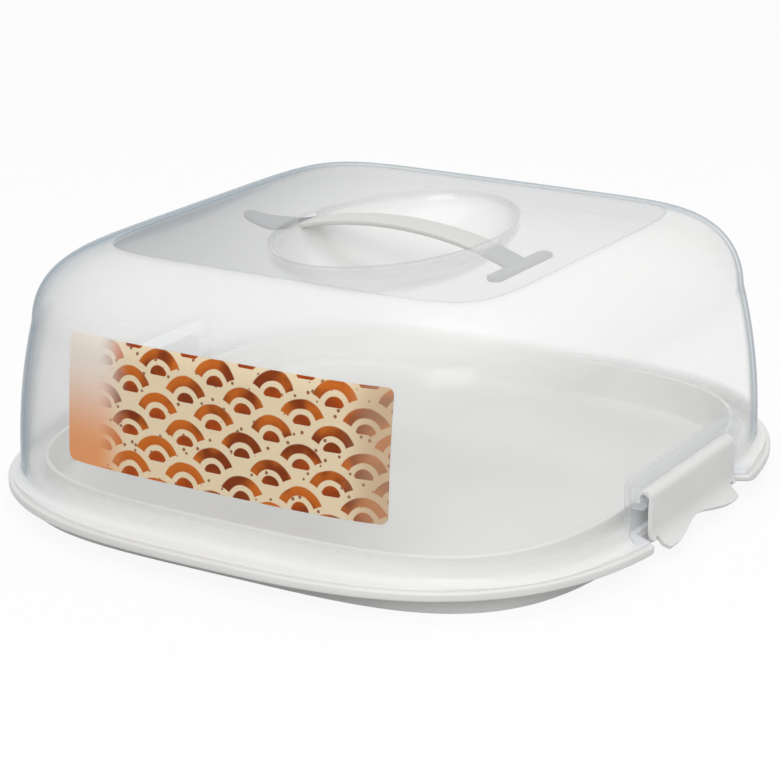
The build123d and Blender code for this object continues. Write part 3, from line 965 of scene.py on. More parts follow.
# ---- tray --------------------------------------------------------------------------------------
@dataclass
class Tray:
    """The reversible tray: recessed floor, upstand, land, bead and foot ring in one moulding.

    A size with three numbers is a superellipse: half sizes along X and Y, and the power. The
    shares and gaps place rings that only divide the surface.
    """

    rim: tuple = (168.0, 172.5, 2.9)
    rim_bottom: float = 10.0
    rim_top: float = 14.3
    rim_edge: float = 1.3
    rim_under_edge: float = 1.1
    land: float = 13.1
    bead: float = 3.0
    bead_slope: float = 0.9
    wall: tuple = (145.0, 149.0, 3.7)
    wall_top: float = 23.9
    wall_thickness: float = 2.0
    wall_root: float = 0.9
    draft: float = 2.5
    floor_top: float = 4.7
    floor_bottom: float = 2.7
    floor_round: float = 3.0
    dish_round: float = 1.5
    foot: tuple = (148.0, 154.0, 3.9)
    foot_thickness: float = 2.0
    foot_root: float = 1.0
    foot_round: float = 0.6
    notch: tuple = (153.6, 47.0)
    notch_slope: tuple = (14.4, 8.0)
    notch_bend: float = 1.6
    notch_tip_bend: float = 3.825
    ring_radius: float = 32.5
    ring_wall: float = 1.6
    ring_foot: float = 0.7
    ring_edge: tuple = (0.4, 0.12)
    ring_pitch: tuple = (84.5, 72.0)
    corner_pull: float = 0.8
    floor_shares: tuple = (0.06, 0.2, 0.4, 0.6, 0.8, 0.92)
    land_shares: tuple = (0.135, 0.315, 0.495, 0.63)
    bead_gaps: tuple = (4.6, 4.0, 3.4, 3.1, 2.95, 2.8, 2.65, 2.5, 2.35, 2.2, 2.05, 1.8)
    ledge_shares: tuple = (0.25, 0.5, 0.75)
    inside_level: float = 5.0
    dish_level: float = 7.0
    crisp: float = 40.0

    def outline(self) -> Array:
        """One quarter of the rim's plan: notch, rounded corners and superellipse.

        Straight lines run up to quadratic curves at the notch's two corners, and the superellipse
        runs on from the second one to the +Y axis.

        Returns:
            Array (columns, 2) from the +X axis to the +Y axis.
        """
        corner = np.array(self.notch)
        along = np.array(self.notch_slope) / np.hypot(*self.notch_slope)
        tip = crossing(corner, along, self.rim)
        first = corner - (0, self.notch_bend)
        second = corner + self.notch_bend * along
        near = tip - self.notch_tip_bend * along
        turn = math.atan2(tip[1], tip[0]) + self.notch_tip_bend / np.hypot(*tip)
        rest = superellipse(*self.rim, np.linspace(turn, math.pi / 2, 72))
        parts = [
            line((corner[0], 0), first, 14),
            bend(first, corner, second, 5),
            line(second, near, 6),
            bend(near, tip, rest[0], 9),
        ]
        return np.concatenate([*(part[:-1] for part in parts), rest])

    def land_height(self, plan: Array) -> Array:
        """Height of the rim's top: the land, plus a smooth step up to the bead near the edge.

        The way in from the edge is (1 - s) times the distance from the middle, where s is the
        point's reach, the n-th root of |x/a|^n + |y/b|^n.

        Args:
            plan: Array (..., 2) of (x, y) pairs.

        Returns:
            Array of heights, one for each pair.
        """
        x, y = np.abs(plan[..., 0]), np.abs(plan[..., 1])
        half_x, half_y, power = self.rim
        share = ((x / half_x) ** power + (y / half_y) ** power) ** (1 / power)
        inside = (1 - share) * np.hypot(x, y)
        rise = np.clip((self.bead - inside) / self.bead_slope, 0, 1)
        return self.land + (self.rim_top - self.land) * eased(rise)

    def _lean(self, height: Array | float) -> Array | float:
        """How far the wall is drawn in: the draft times the share of the wall above a height."""
        return self.draft / (self.wall_top - self.floor_bottom) * (self.wall_top - height)

    def _rounded(self, size: tuple, inset: Array, height: Array, angle: Array) -> Array:
        """Rings of a superellipse, each drawn in by an inset, at their heights.

        Args:
            size: Half sizes and power of the superellipse.
            inset: Insets, one for each ring.
            height: Heights, one for each ring.
            angle: Polar angles in radians, one for each column.

        Returns:
            Array (rings, columns, 3).
        """
        inset = inset[:, None]
        plan = superellipse(size[0] - inset, size[1] - inset, size[2], angle[None])
        return raised(plan, height[:, None])

    def rows(self) -> Array:
        """Every ring of the tray from the middle of its floor, over the rim, to its underside.

        The wall's rings are superellipses drawn in by its lean. Their profile is a quarter circle
        out of the floor, a straight side, a half circle over the lip, a straight side and a
        quarter circle into the land.

        Returns:
            Array (rings, columns, 3).
        """
        rim = whole_line(self.outline())
        polar = np.unwrap(np.arctan2(rim[:, 1], rim[:, 0]))
        even = np.linspace(0, FULL_TURN, len(rim), endpoint=False)
        angle = self.corner_pull * polar + (1 - self.corner_pull) * even
        turn = quarter_turn(6)
        lip = self.wall_thickness / 2
        lip_low = self.wall_top - lip
        root_top = self.land + self.wall_root
        thick = self.wall_thickness
        curve_in = self._lean(self.floor_top) + thick + self.floor_round * (1 - np.sin(turn))
        curve_up = self.floor_top + self.floor_round * (1 - np.cos(turn))
        arc = np.linspace(math.pi, 0, 9)
        inner = np.linspace(curve_up[-1], lip_low, 6)[1:-1]
        outer = np.linspace(lip_low, root_top, 5)[1:-1]
        profile = (
            (curve_in, curve_up),
            (self._lean(inner) + thick, inner),
            (self._lean(lip_low) + lip - lip * np.cos(arc), lip_low + lip * np.sin(arc)),
            (self._lean(outer), outer),
            (
                self._lean(root_top) - self.wall_root * (1 - np.cos(turn)),
                root_top - self.wall_root * np.sin(turn),
            ),
        )
        wall = np.concatenate([self._rounded(self.wall, *part, angle) for part in profile])
        floor = blend_rows(np.array([0.0, 0.0, self.floor_top]), wall[0], self.floor_shares)
        over, under = self._rim_rows(rim, wall[-1]), self._under_rows(rim, angle)
        return np.concatenate([floor, wall, over, under])

    def _rim_rows(self, rim: Array, start: Array) -> Array:
        """Rings of the land, from the wall's root, and of the rim's rounded upper edge.

        Rings of the land lie part of the way from the wall's root to the rim. The edge is a
        quarter circle, r * sin outwards along the rim's normals and r * (1 - cos) downwards.

        Args:
            rim: The rim's plan as a closed line.
            start: The last ring of the wall.

        Returns:
            Array (rings, columns, 3).
        """
        normal = plan_normals(rim)
        inner = rim - normal * self.rim_edge
        way = inner - start[:, :2]
        run = np.linalg.norm(rim - start[:, :2], axis=-1)
        gaps = np.array(self.bead_gaps)[:, None] - self.rim_edge
        shares = np.concatenate([np.array(self.land_shares)[:, None] + 0 * run, 1 - gaps / run])
        plan = np.concatenate([start[:, :2] + shares[..., None] * way, inner[None]])
        turn = quarter_turn(7)[1:]
        level = self.land_height(inner) - self.rim_edge * (1 - np.cos(turn))[:, None]
        edge = spread_rows(inner, normal, self.rim_edge * np.sin(turn), level)
        return np.concatenate([raised(plan, self.land_height(plan)), edge])

    def _under_rows(self, rim: Array, angle: Array) -> Array:
        """Rings of the rim's lower edge, the ledge, the foot ring and the dish's underside.

        Every rounded edge and root is a quarter circle: r * (1 - sin) one way, r * (1 - cos) the
        other. The ledge and the floor lie part of the way between their neighbours.

        Args:
            rim: The rim's plan as a closed line.
            angle: Polar angles in radians, one for each column.

        Returns:
            Array (rings, columns, 3).
        """
        back = quarter_turn(6)[::-1]
        level = self.rim_bottom + self.rim_under_edge * (1 - np.cos(back))
        inset = self.rim_under_edge * (1 - np.sin(back))
        edge = spread_rows(rim, plan_normals(rim), -inset, level[:, None])
        arc = quarter_turn(5)
        from_side, from_end = 1 - np.sin(arc), 1 - np.cos(arc)
        root, tip, thick = self.foot_root, self.foot_round, self.foot_thickness
        foot = self._rounded(
            self.foot,
            np.concatenate([
                -root * from_side, tip * from_end, thick - tip * from_side, [thick, thick],
            ]),
            np.concatenate([
                self.rim_bottom - root * from_end, tip * from_side, tip * from_end,
                [self.inside_level, self.rim_bottom],
            ]),
            angle,
        )
        base = self.floor_bottom + self.dish_round
        level = np.array([self.rim_bottom, self.dish_level, base])
        dish = self._rounded(
            self.wall,
            np.concatenate([self._lean(level), self._lean(base) + self.dish_round * from_end]),
            np.concatenate([level, base - self.dish_round * np.sin(arc)]),
            angle,
        )
        ledge = blend_rows(edge[-1], foot[0], self.ledge_shares)
        middle = np.array([0.0, 0.0, self.floor_bottom])
        floor = blend_rows(middle, dish[-1], self.floor_shares[::-1])
        return np.concatenate([edge, ledge, foot, dish, floor])

    def cupcake_ring(self, number: int, centre: tuple) -> Piece:
        """One low ring under the floor: a rounded section carried round a circle.

        Args:
            number: The ring's number, for its name.
            centre: The (x, y) of its middle.

        Returns:
            The ring as a closed solid.
        """
        half, foot = self.ring_wall / 2, self.ring_foot
        edge, slant = self.ring_edge
        inner = np.array([
            (-half, self.floor_bottom + edge), (-half, foot + edge),
            (-half + slant, foot + slant), (-half + edge, foot),
        ])
        section = np.concatenate([inner, inner[::-1] * (-1, 1)])
        angle = np.linspace(0, FULL_TURN, 96, endpoint=False)
        radius = (self.ring_radius - half + section[:, 0])[:, None]
        x, y = centre[0] + radius * np.cos(angle), centre[1] + radius * np.sin(angle)
        points = np.stack([x, y, np.broadcast_to(section[:, 1:], x.shape)], axis=-1)
        index = grid(*x.shape)
        below = np.roll(index, -1, axis=0)
        corners = [index, np.roll(index, -1, axis=1), np.roll(below, -1, axis=1), below]
        quads = np.stack(corners, axis=-1)
        return solid(f"cupcake_ring_{number}", points.reshape(-1, 3), quads.reshape(-1, 4).tolist())

    def build(self, material: Material) -> Piece:
        """Make the tray, dress it and put it in its place on the frame.

        Args:
            material: The tray's plastic.

        Returns:
            The tray.
        """
        tray = turned("white_tray", self.rows(), (0, 0, self.floor_top), (0, 0, self.floor_bottom))
        wide, deep = self.ring_pitch
        places = [(x * wide, y * deep) for x in (-1, 0, 1) for y in (-1.5, -0.5, 0.5, 1.5)]
        combine(tray, [self.cupcake_ring(*numbered) for numbered in enumerate(places)], Cut.JOIN)
        dress(tray, self.crisp, material)
        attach(tray, "tray")
        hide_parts("base_tray")
        return tray


# ---- lid ---------------------------------------------------------------------------------------
@dataclass
class Dome:
    """The shape of the lid's outside: station 0 is its foot, 1 its shoulder and 2 its flat top."""

    foot: tuple = (157.4, 157.1, 3.55)
    rim_top: float = 14.3
    shoulder_rise: float = 76.6
    shoulder_inset: tuple = (11.5, 3.4)
    shoulder_power: float = 3.7
    bow: float = 2.08
    panel: tuple = (103.7, 107.9, 7.5)
    top: float = 126.0
    curve: float = 1.62
    probe: float = 0.01

    @property
    def shoulder(self) -> float:
        """Height of the shoulder."""
        return self.rim_top + self.shoulder_rise

    def station(self, place: Array) -> Array:
        """Half sizes, power and height at stations.

        Up the wall the half sizes shrink with the station to the power of the bow. Over the
        shoulder they follow a superellipse arc, cos^(2/c) inwards and sin^(2/c) upwards.

        Args:
            place: Array of stations.

        Returns:
            Array (N, 4) of half_x, half_y, power and height.
        """
        wall = np.clip(place, 0, 1)
        inset_x, inset_y = self.shoulder_inset
        bowed = wall**self.bow
        less = (self.foot[2] - self.shoulder_power) * wall
        size = np.array(self.foot) - np.stack([inset_x * bowed, inset_y * bowed, less], axis=-1)
        turn = np.clip(place - 1, 0, 1) * math.pi / 2
        inward = 1 - np.clip(np.cos(turn), 0, 1) ** (2 / self.curve)
        size = size + (np.array(self.panel) - size) * inward[:, None]
        height = self.rim_top + self.shoulder_rise * np.minimum(place, 1)
        height = height + (self.top - self.shoulder) * np.sin(turn) ** (2 / self.curve)
        return np.concatenate([size, height[:, None]], axis=-1)

    def grown(self, place: Array, grow: float) -> Array:
        """Stations moved outwards, square to the surface, by a distance.

        The way (run, rise) along the profile from just before a station to just after it is turned
        to (rise, run) and made as long as the distance.

        Args:
            place: Array of stations.
            grow: The distance.

        Returns:
            Array (N, 4) of half_x, half_y, power and height.
        """
        before = self.station(place - self.probe)
        after = self.station(np.minimum(place + self.probe, 2))
        run = np.sum(before[:, :2] - after[:, :2], axis=1) / 2
        rise = after[:, 3] - before[:, 3]
        share = grow / np.hypot(run, rise)
        moved = self.station(place)
        moved[:, :2] += (rise * share)[:, None]
        moved[:, 3] += run * share
        return moved

    def sizes_at(self, height: Array, grow: float, first: float, last: float, count: int) -> list:
        """Half sizes and power at any heights, read off a fine table of stations.

        Args:
            height: The heights.
            grow: Distance outwards from the outside.
            first: First station of the table. Below station 0 the heights run on evenly.
            last: Last station.
            count: Number of stations.

        Returns:
            half_x, half_y and power, each with the shape of the heights.
        """
        place = np.linspace(first, last, count)
        table = self.grown(place, grow)
        table[:, 3] = np.where(place < 0, self.rim_top + self.shoulder_rise * place, table[:, 3])
        return [np.interp(height, table[:, 3], column) for column in table.T[:3]]


@dataclass
class Lid:
    """The clear lid: dome, flange, bowl, strap slots, clip pockets and rods in one moulding."""

    dome: Dome
    thickness: float = 1.6
    flange_low: float = 13.2
    flange_top: float = 14.7
    flange: tuple = (164.2, 168.7, 2.9)
    flare: float = 4.0
    flange_round: float = 0.5
    notch: tuple = (153.0, 47.6)
    notch_slope: tuple = (14.4, 8.0)
    bowl: tuple = (50.5, 81.0, 26.0)
    bowl_lip: float = 0.7
    bowl_inner_lip: float = 0.3
    pocket_back: float = 150.2
    pocket_half: float = 62.0
    pocket_fade: float = 12.5
    pocket_roof: float = 42.7
    pocket_slope: float = 30.0
    pocket_level: float = 25.0
    rod: tuple = (155.15, 30.9, 2.0)
    rod_short: float = 0.2
    cheek: tuple = (46.1, 2.0, 4.6)
    slot_half: float = 9.3
    slot_low: float = 119.2
    slot_reach: tuple = (44.5, 56.5)
    inner_levels: tuple = (16.0, 20.0, 25.0, 30.0, 35.0)
    outer_levels: tuple = (22.0, 26.0, 30.0, 34.5)
    flange_shares: tuple = (0.25, 0.5, 0.75)
    flange_split: float = 2.5
    crease_guess: float = 4.0
    crease_trials: int = 6
    stations: tuple = (-0.3, 1.0, 400)
    crisp: float = 32.0

    def _wall_sizes(self, height: Array, grow: float) -> list:
        """Half sizes and power of the wall at any heights."""
        return self.dome.sizes_at(height, grow, *self.stations)

    def _roof(self, grow: float) -> tuple[float, float, float]:
        """The pocket's back, its roof's height there, and the roof's slope.

        The roof's height at x is the height at the back plus slope * (x - back).

        Args:
            grow: 0 for the outside, or minus the thickness for the inside.

        Returns:
            The back, the height and the slope.
        """
        slope = math.tan(math.radians(self.pocket_slope))
        back = self.pocket_back + grow
        return back, self.pocket_roof - grow - slope * (self.dome.foot[0] - back), slope

    def _crease(self, y: Array, grow: float) -> Array:
        """Height where the pocket's sloping roof comes out of the wall, found by repeated trial.

        Each trial takes the roof's height at the wall's place for the height before it.

        Args:
            y: Places along Y.
            grow: 0 for the outside, or minus the thickness for the inside.

        Returns:
            Heights, one for each place.
        """
        back, base, slope = self._roof(grow)
        height = np.full_like(y, base + self.crease_guess)
        for _ in range(self.crease_trials):
            height = base + slope * (reach_at(*self._wall_sizes(height, grow), y) - back)
        return height

    def wall_quarter(self, grow: float, bottom: Array, flare: Array) -> Array:
        """One quarter of the wall's rings, with the clip's pocket sunk into it.

        Rings below the roof run straight across the pocket's back, then fade out to the wall by a
        smooth step along Y. Rings of the roof slide from the back to the wall. Rings above lie on
        the wall and level out.

        Args:
            grow: 0 for the outside, or minus the thickness for the inside.
            bottom: Heights of the rings below the roof.
            flare: How far each of the first rings is pushed out by the curve at the wall's foot.

        Returns:
            Array (rings, columns, 3).
        """
        back, base, _ = self._roof(grow)
        half = self.pocket_half - grow
        side = float(self._crease(np.array([half]), grow)[0])
        steps = np.linspace(0, 1, 8)
        above = np.linspace(side, self.dome.shoulder, 20)[1:]
        level = np.concatenate([bottom, base + steps * (side - base), above])
        share = np.concatenate([np.zeros(len(bottom)), steps, np.ones(len(above))])[:, None]
        ease = np.clip(1 - (level - side) / self.pocket_level, 0, 1)[:, None]
        push = np.zeros((len(level), 1))
        push[: len(flare), 0] = flare
        flat = half - self.pocket_fade
        along = np.linspace(0, 1, 17)[1:]
        y = np.concatenate([np.linspace(0, flat, 16), flat + self.pocket_fade * along])[None]
        fade = np.concatenate([np.zeros(16), eased(along)])
        crease = self._crease(y, grow)
        z = level[:, None] + share * (crease - side) * ease
        wall_there = reach_at(*self._wall_sizes(np.where(share < 1, crease, z), grow), y)
        sunk = back + share * (wall_there - back)
        half_x, half_y, power = self._wall_sizes(z, grow)
        wall = reach_at(half_x + push, half_y + push, power, y)
        middle = np.stack(np.broadcast_arrays(sunk + fade * (wall - sunk), y, z), axis=-1)
        first = np.arctan2(half, wall[:, -1:])
        angle = first + np.linspace(0, 1, 61)[1:] * (math.pi / 2 - first)
        half_x, half_y, power = (values[:, None] for values in self._wall_sizes(level, grow))
        rest = raised(superellipse(half_x + push, half_y + push, power, angle), level[:, None])
        return np.concatenate([middle, rest], axis=1)

    def _upper_rows(self, sizes: Array, ring: Array) -> Array:
        """Rings above the wall, with the columns at the angles of the wall's last ring.

        Args:
            sizes: Array (rings, 4) of half_x, half_y, power and height.
            ring: The ring whose angles are kept.

        Returns:
            Array (rings, columns, 3).
        """
        angle = np.arctan2(ring[:, 1], ring[:, 0])
        half_x, half_y, power, height = sizes.T[..., None]
        return raised(superellipse(half_x, half_y, power, angle), height)

    def flange_line(self) -> Array:
        """The flange's plan as a closed line, with a notch for each clip.

        Two straight lines run along the notch and out of it, and a superellipse runs on from them.

        Returns:
            Array (columns, 2).
        """
        start = np.array(self.notch)
        along = np.array(self.notch_slope) / np.hypot(*self.notch_slope)
        tip = crossing(start, along, self.flange)
        first = math.atan2(tip[1], tip[0])
        ahead = math.atan2(self.pocket_half + self.flange_split, self.flange[0])
        turns = (np.linspace(first, ahead, 6)[1:], np.linspace(ahead, math.pi / 2, 61)[1:])
        parts = [line((start[0], 0), start, 18), line(start, tip, 10)[1:]]
        parts += [superellipse(*self.flange, turn) for turn in turns]
        return whole_line(np.concatenate(parts))

    def rows(self) -> Array:
        """Every ring: from under the bowl, down the inside, round the flange and up to the bowl.

        Returns:
            Array (rings, columns, 3).
        """
        curl = quarter_turn(8)
        low = self.flange_top + self.flare * (1 - np.cos(curl))
        push = self.flare * (1 - np.sin(curl))
        inside = np.array([self.flange_low, *self.inner_levels])
        inner, inner_top = self._skin(-self.thickness, inside, np.zeros(0))
        outer, outer_top = self._skin(0.0, np.concatenate([low, self.outer_levels]), push)
        flange = self._flange_rows(inner[0], outer[0])
        return np.concatenate([inner_top[::-1], inner[::-1], flange, outer, outer_top])

    def _skin(self, grow: float, bottom: Array, flare: Array) -> tuple[Array, Array]:
        """The wall's rings, and the rings of the shoulder, flat top and bowl, of one face.

        Args:
            grow: 0 for the outside, or minus the thickness for the inside.
            bottom: Heights of the rings below the pocket's roof.
            flare: How far each of the first rings is pushed out.

        Returns:
            The rings of the wall, and those above it.
        """
        wall = whole_ring(self.wall_quarter(grow, bottom, flare))
        shoulder = self._upper_rows(self.dome.grown(np.linspace(1, 2, 30)[1:], grow), wall[-1])
        panel = self._panel_rows(shoulder[-1], -grow)
        return wall, np.concatenate([shoulder, panel])

    def _flange_rows(self, inner: Array, outer: Array) -> Array:
        """Rings from the inner wall's foot, under the flange, round its edge, to the outer wall.

        The edge is two quarter circles, r * (1 - cos) inwards and r * sin in height, and the
        rings beside it lie part of the way from it to the walls.

        Args:
            inner: The lowest ring of the inner wall.
            outer: The lowest ring of the outer wall.

        Returns:
            Array (rings, columns, 3).
        """
        plan = self.flange_line()
        turn = np.linspace(-math.pi / 2, math.pi / 2, 9)
        radius = self.flange_round
        middle = np.where(turn < 0, self.flange_low + radius, self.flange_top - radius)
        level = (middle + radius * np.sin(turn))[:, None]
        edge = spread_rows(plan, plan_normals(plan), -radius * (1 - np.cos(turn)), level)
        below = blend_rows(inner, edge[0], self.flange_shares)
        above = blend_rows(edge[-1], outer, self.flange_shares)
        return np.concatenate([below, edge, above])

    def _panel_rows(self, ring: Array, grow: float) -> Array:
        """Rings of the flat top, the bowl's rounded lip and the bowl.

        The half sizes and the power run evenly from the panel's outline to the ellipse of the
        bowl. The lip is a quarter circle, and the bowl is half an ellipsoid.

        Args:
            ring: The panel's outermost ring.
            grow: 0 for the top face, or the thickness for the underside.

        Returns:
            Array (rings, columns, 3).
        """
        lip = self.bowl_inner_lip if grow else self.bowl_lip
        level = self.dome.top - grow
        half = np.array(self.bowl[:2]) + grow
        depth = self.bowl[2] + grow
        wide = np.array([*(half + lip), 2.0, level])
        flat = line((*self.dome.panel, level), wide, 9)[1:]
        curl = quarter_turn(7)[1:, None]
        drawn = (np.sin(curl), np.sin(curl), 0 * curl, 1 - np.cos(curl))
        curved = wide - lip * np.concatenate(drawn, axis=1)
        start = math.asin((grow + lip) / depth)
        sweep = np.linspace(start, math.pi / 2, 30)[1:-1, None]
        hollow = np.concatenate([
            half * np.cos(sweep), np.full_like(sweep, 2.0), self.dome.top - depth * np.sin(sweep),
        ], axis=1)
        return self._upper_rows(np.concatenate([flat, curved, hollow]), ring)

    def _mounts(self) -> list:
        """The rod and cheeks at +X as closed solids, each an outline carried along Y.

        Returns:
            The rod and its two cheeks.
        """
        x, z, radius = self.rod
        start, thick, rise = self.cheek
        end = start + thick
        root = self.pocket_back - self.thickness / 2
        nose = np.concatenate([
            [(root, z - rise)],
            circle((x, z - rise + radius), radius, -90, 0, 6),
            circle((x, z + rise - radius), radius, 0, 90, 6),
            [(root, z + rise)],
        ])
        return [
            prism("rod", disc((x, z), radius), self.rod_short - end, end - self.rod_short),
            prism("cheek", nose, start, end),
            prism("cheek", nose, -end, -start),
        ]

    def _slots(self) -> list:
        """Cutting boxes for the strap's two slots.

        Returns:
            The two boxes.
        """
        top = self.dome.top - self.thickness
        near, far = self.slot_reach
        spans = ((near, far), (-far, -near))
        half, low = self.slot_half, self.slot_low
        return [brick("slot", (x[0], -half, low), (x[1], half, top)) for x in spans]

    def build(self, material: Material) -> Piece:
        """Make the lid, dress it and put it in its place on the frame.

        Args:
            material: The lid's plastic.

        Returns:
            The lid.
        """
        over = self.dome.top - self.bowl[2]
        under = over - self.thickness
        lid = turned("clear_lid", self.rows(), (0, 0, under), (0, 0, over))
        combine(lid, self._slots(), Cut.REMOVE)
        mounts = self._mounts()
        combine(lid, mounts + [mirrored(piece, "twin") for piece in mounts], Cut.JOIN)
        dress(lid, self.crisp, material)
        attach(lid, "lid")
        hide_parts("lid")
        return lid


# ---- clips -------------------------------------------------------------------------------------
@dataclass
class Clip:
    """A side clip: hook over the rod, flat plate, and finger lip with two prongs and a scoop."""

    rod: tuple = (155.15, 30.9)
    hook: float = 3.15
    thickness: float = 1.8
    hook_end: float = 205.0
    bead: float = 1.2
    bead_out: float = 0.3
    bead_short: float = 0.3
    half: float = 45.5
    bend_top: float = 17.0
    bend: float = 10.0
    bend_angle: float = 60.0
    lip: float = 2.5
    lip_half: float = 39.4
    lip_top: float = 11.2
    relief: float = 1.7
    corner_round: float = 1.6
    prong_round: float = 3.0
    scoop: tuple = (31.0, 4.5)
    edge: float = 0.45
    edge_segments: int = 3
    edge_angle: float = 50.0
    latch: tuple = ((160.1, 11.3), (153.9, 9.8), (153.9, 8.3), (160.1, 9.4))
    latch_half: float = 36.0
    hook_points: int = 24
    plate_points: int = 14
    plate_share: tuple = (11.2, 11.6, 34.0)
    merge: float = 2e-5
    crisp: float = 35.0

    def path(self) -> tuple[Array, Array]:
        """The middle line of the clip's section.

        Returns:
            Distances along the line and its (x, z) points: arc over the rod, straight plate, arc
            of the bend, and straight lip.
        """
        x, z = self.rod
        x += self.hook
        over = circle(self.rod, self.hook, self.hook_end, 0, self.hook_points)
        plate = line((x, z), (x, self.bend_top), self.plate_points)
        curve = circle((x + self.bend, self.bend_top), self.bend, 180, 180 + self.bend_angle, 14)
        turn = math.radians(270 + self.bend_angle)
        end = curve[-1] + self.lip * np.array([math.cos(turn), math.sin(turn)])
        points = np.concatenate([over, plate[1:], curve[1:], line(curve[-1], end, 8)[1:]])
        step = np.linalg.norm(np.diff(points, axis=0), axis=-1)
        return np.concatenate([[0.0], np.cumsum(step)]), points

    def _surface(self, along: Array, y: Array) -> Array:
        """Points of the middle surface at distances along the section and places along Y.

        Args:
            along: Array of distances.
            y: Places along Y, which broadcast with the distances.

        Returns:
            Array (rows, columns, 3).
        """
        length, points = self.path()
        x, z = (np.interp(along, length, column) for column in points.T)
        return np.stack([x, np.broadcast_to(y, x.shape), z], axis=-1)

    def _side(self) -> Array:
        """Places past the prong's side where the plate's lower edge has its points.

        The edge rises over a half-round nick beside the prong and ends in a rounded corner.

        Returns:
            Distances outwards from the prong's side.
        """
        cup = self.relief * (1 - np.cos(np.linspace(0, math.pi, 13)))
        curl = self.half - self.lip_half - self.corner_round * (1 - np.sin(quarter_turn(6)))
        return np.concatenate([cup, np.linspace(cup[-1], curl[0], 3)[1:-1], curl])

    def plate_sheet(self) -> tuple[Array, list]:
        """The middle surface as one mesh.

        The upper part spans the whole length and stops at the plate's lower edge. The lower part
        spans the prongs, whose tips follow a smooth wave.

        Returns:
            Points and quads.
        """
        length, points = self.path()
        bent = slice(self.hook_points + 6, None)
        split = float(np.interp(-self.lip_top, -points[bent, 1], length[bent]))
        side = self._side()
        inner = np.linspace(-self.lip_half, self.lip_half, 64)
        y = np.concatenate([-self.lip_half - side[:0:-1], inner, self.lip_half + side[1:]])
        beyond = np.maximum(np.abs(y) - self.lip_half, 0)
        past = np.maximum(np.abs(y) - (self.half - self.corner_round), 0)
        nick = self.relief - fall(beyond - self.relief, self.relief)
        end = split - nick - fall(past, self.corner_round)
        first, second, last = self.plate_share
        share = np.concatenate([np.linspace(0, first, 22), np.linspace(second, last, 26)]) / last
        upper = self._surface(share[:, None] * end, y)
        tail = slice(self.hook_points + self.plate_points - 1, None)
        tip_x = points[-1, 0] - self.scoop[1] * self._wave(inner)
        corner = np.maximum(np.abs(inner) - (self.lip_half - self.prong_round), 0)
        tip = np.interp(tip_x, points[tail, 0], length[tail]) - fall(corner, self.prong_round)
        lower = self._surface(split + np.linspace(0, 1, 14)[:, None] * (tip - split), inner)
        first_faces = sheet_faces(*upper.shape[:2])
        second_faces = sheet_faces(*lower.shape[:2]) + share.size * y.size
        points = np.concatenate([upper.reshape(-1, 3), lower.reshape(-1, 3)])
        return points, first_faces.tolist() + second_faces.tolist()

    def _wave(self, y: Array) -> Array:
        """The scoop's depth along Y, as a share: a raised cosine between the prongs."""
        share = np.clip(np.abs(y) / self.scoop[0], 0, 1)
        return 0.5 + 0.5 * np.cos(math.pi * share)

    def _thicken(self, clip: Piece) -> None:
        """Give the sheet its thickness and soften its edges.

        Args:
            clip: The sheet, which becomes a wall.
        """
        wall = clip.modifiers.new("wall", "SOLIDIFY")
        wall.thickness = self.thickness * MM
        wall.offset = 0
        wall.use_even_offset = True
        soft = clip.modifiers.new("soft edge", "BEVEL")
        soft.width = self.edge * MM
        soft.segments = self.edge_segments
        soft.limit_method = "ANGLE"
        soft.angle_limit = math.radians(self.edge_angle)
        apply_modifiers(clip)

    def build(self, name: str, material: Material) -> Piece:
        """Make the clip at +X with its bead and latch rib, and dress it.

        Args:
            name: The clip's name.
            material: The clip's plastic.

        Returns:
            The clip.
        """
        clip = solid(name, *self.plate_sheet(), self.merge)
        self._thicken(clip)
        end = circle(self.rod, self.hook + self.bead_out, self.hook_end, self.hook_end, 1)[0]
        half = self.half - self.bead_short
        bead = prism("bead", disc(end, self.bead), -half, half)
        rib = prism("rib", np.array(self.latch), -self.latch_half, self.latch_half)
        combine(clip, [bead, rib], Cut.JOIN)
        dress(clip, self.crisp, material)
        return clip


def build_clips(material: Material) -> list:
    """Make both clips, the left as the mirror image of the right.

    Args:
        material: The clips' plastic.

    Returns:
        The right clip and the left clip.
    """
    right = Clip().build("side_clip_right", material)
    left = mirrored(right, "side_clip_left")
    for piece, body in ((right, "right_clip"), (left, "left_clip")):
        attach(piece, body)
        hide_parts(body)
    return [right, left]


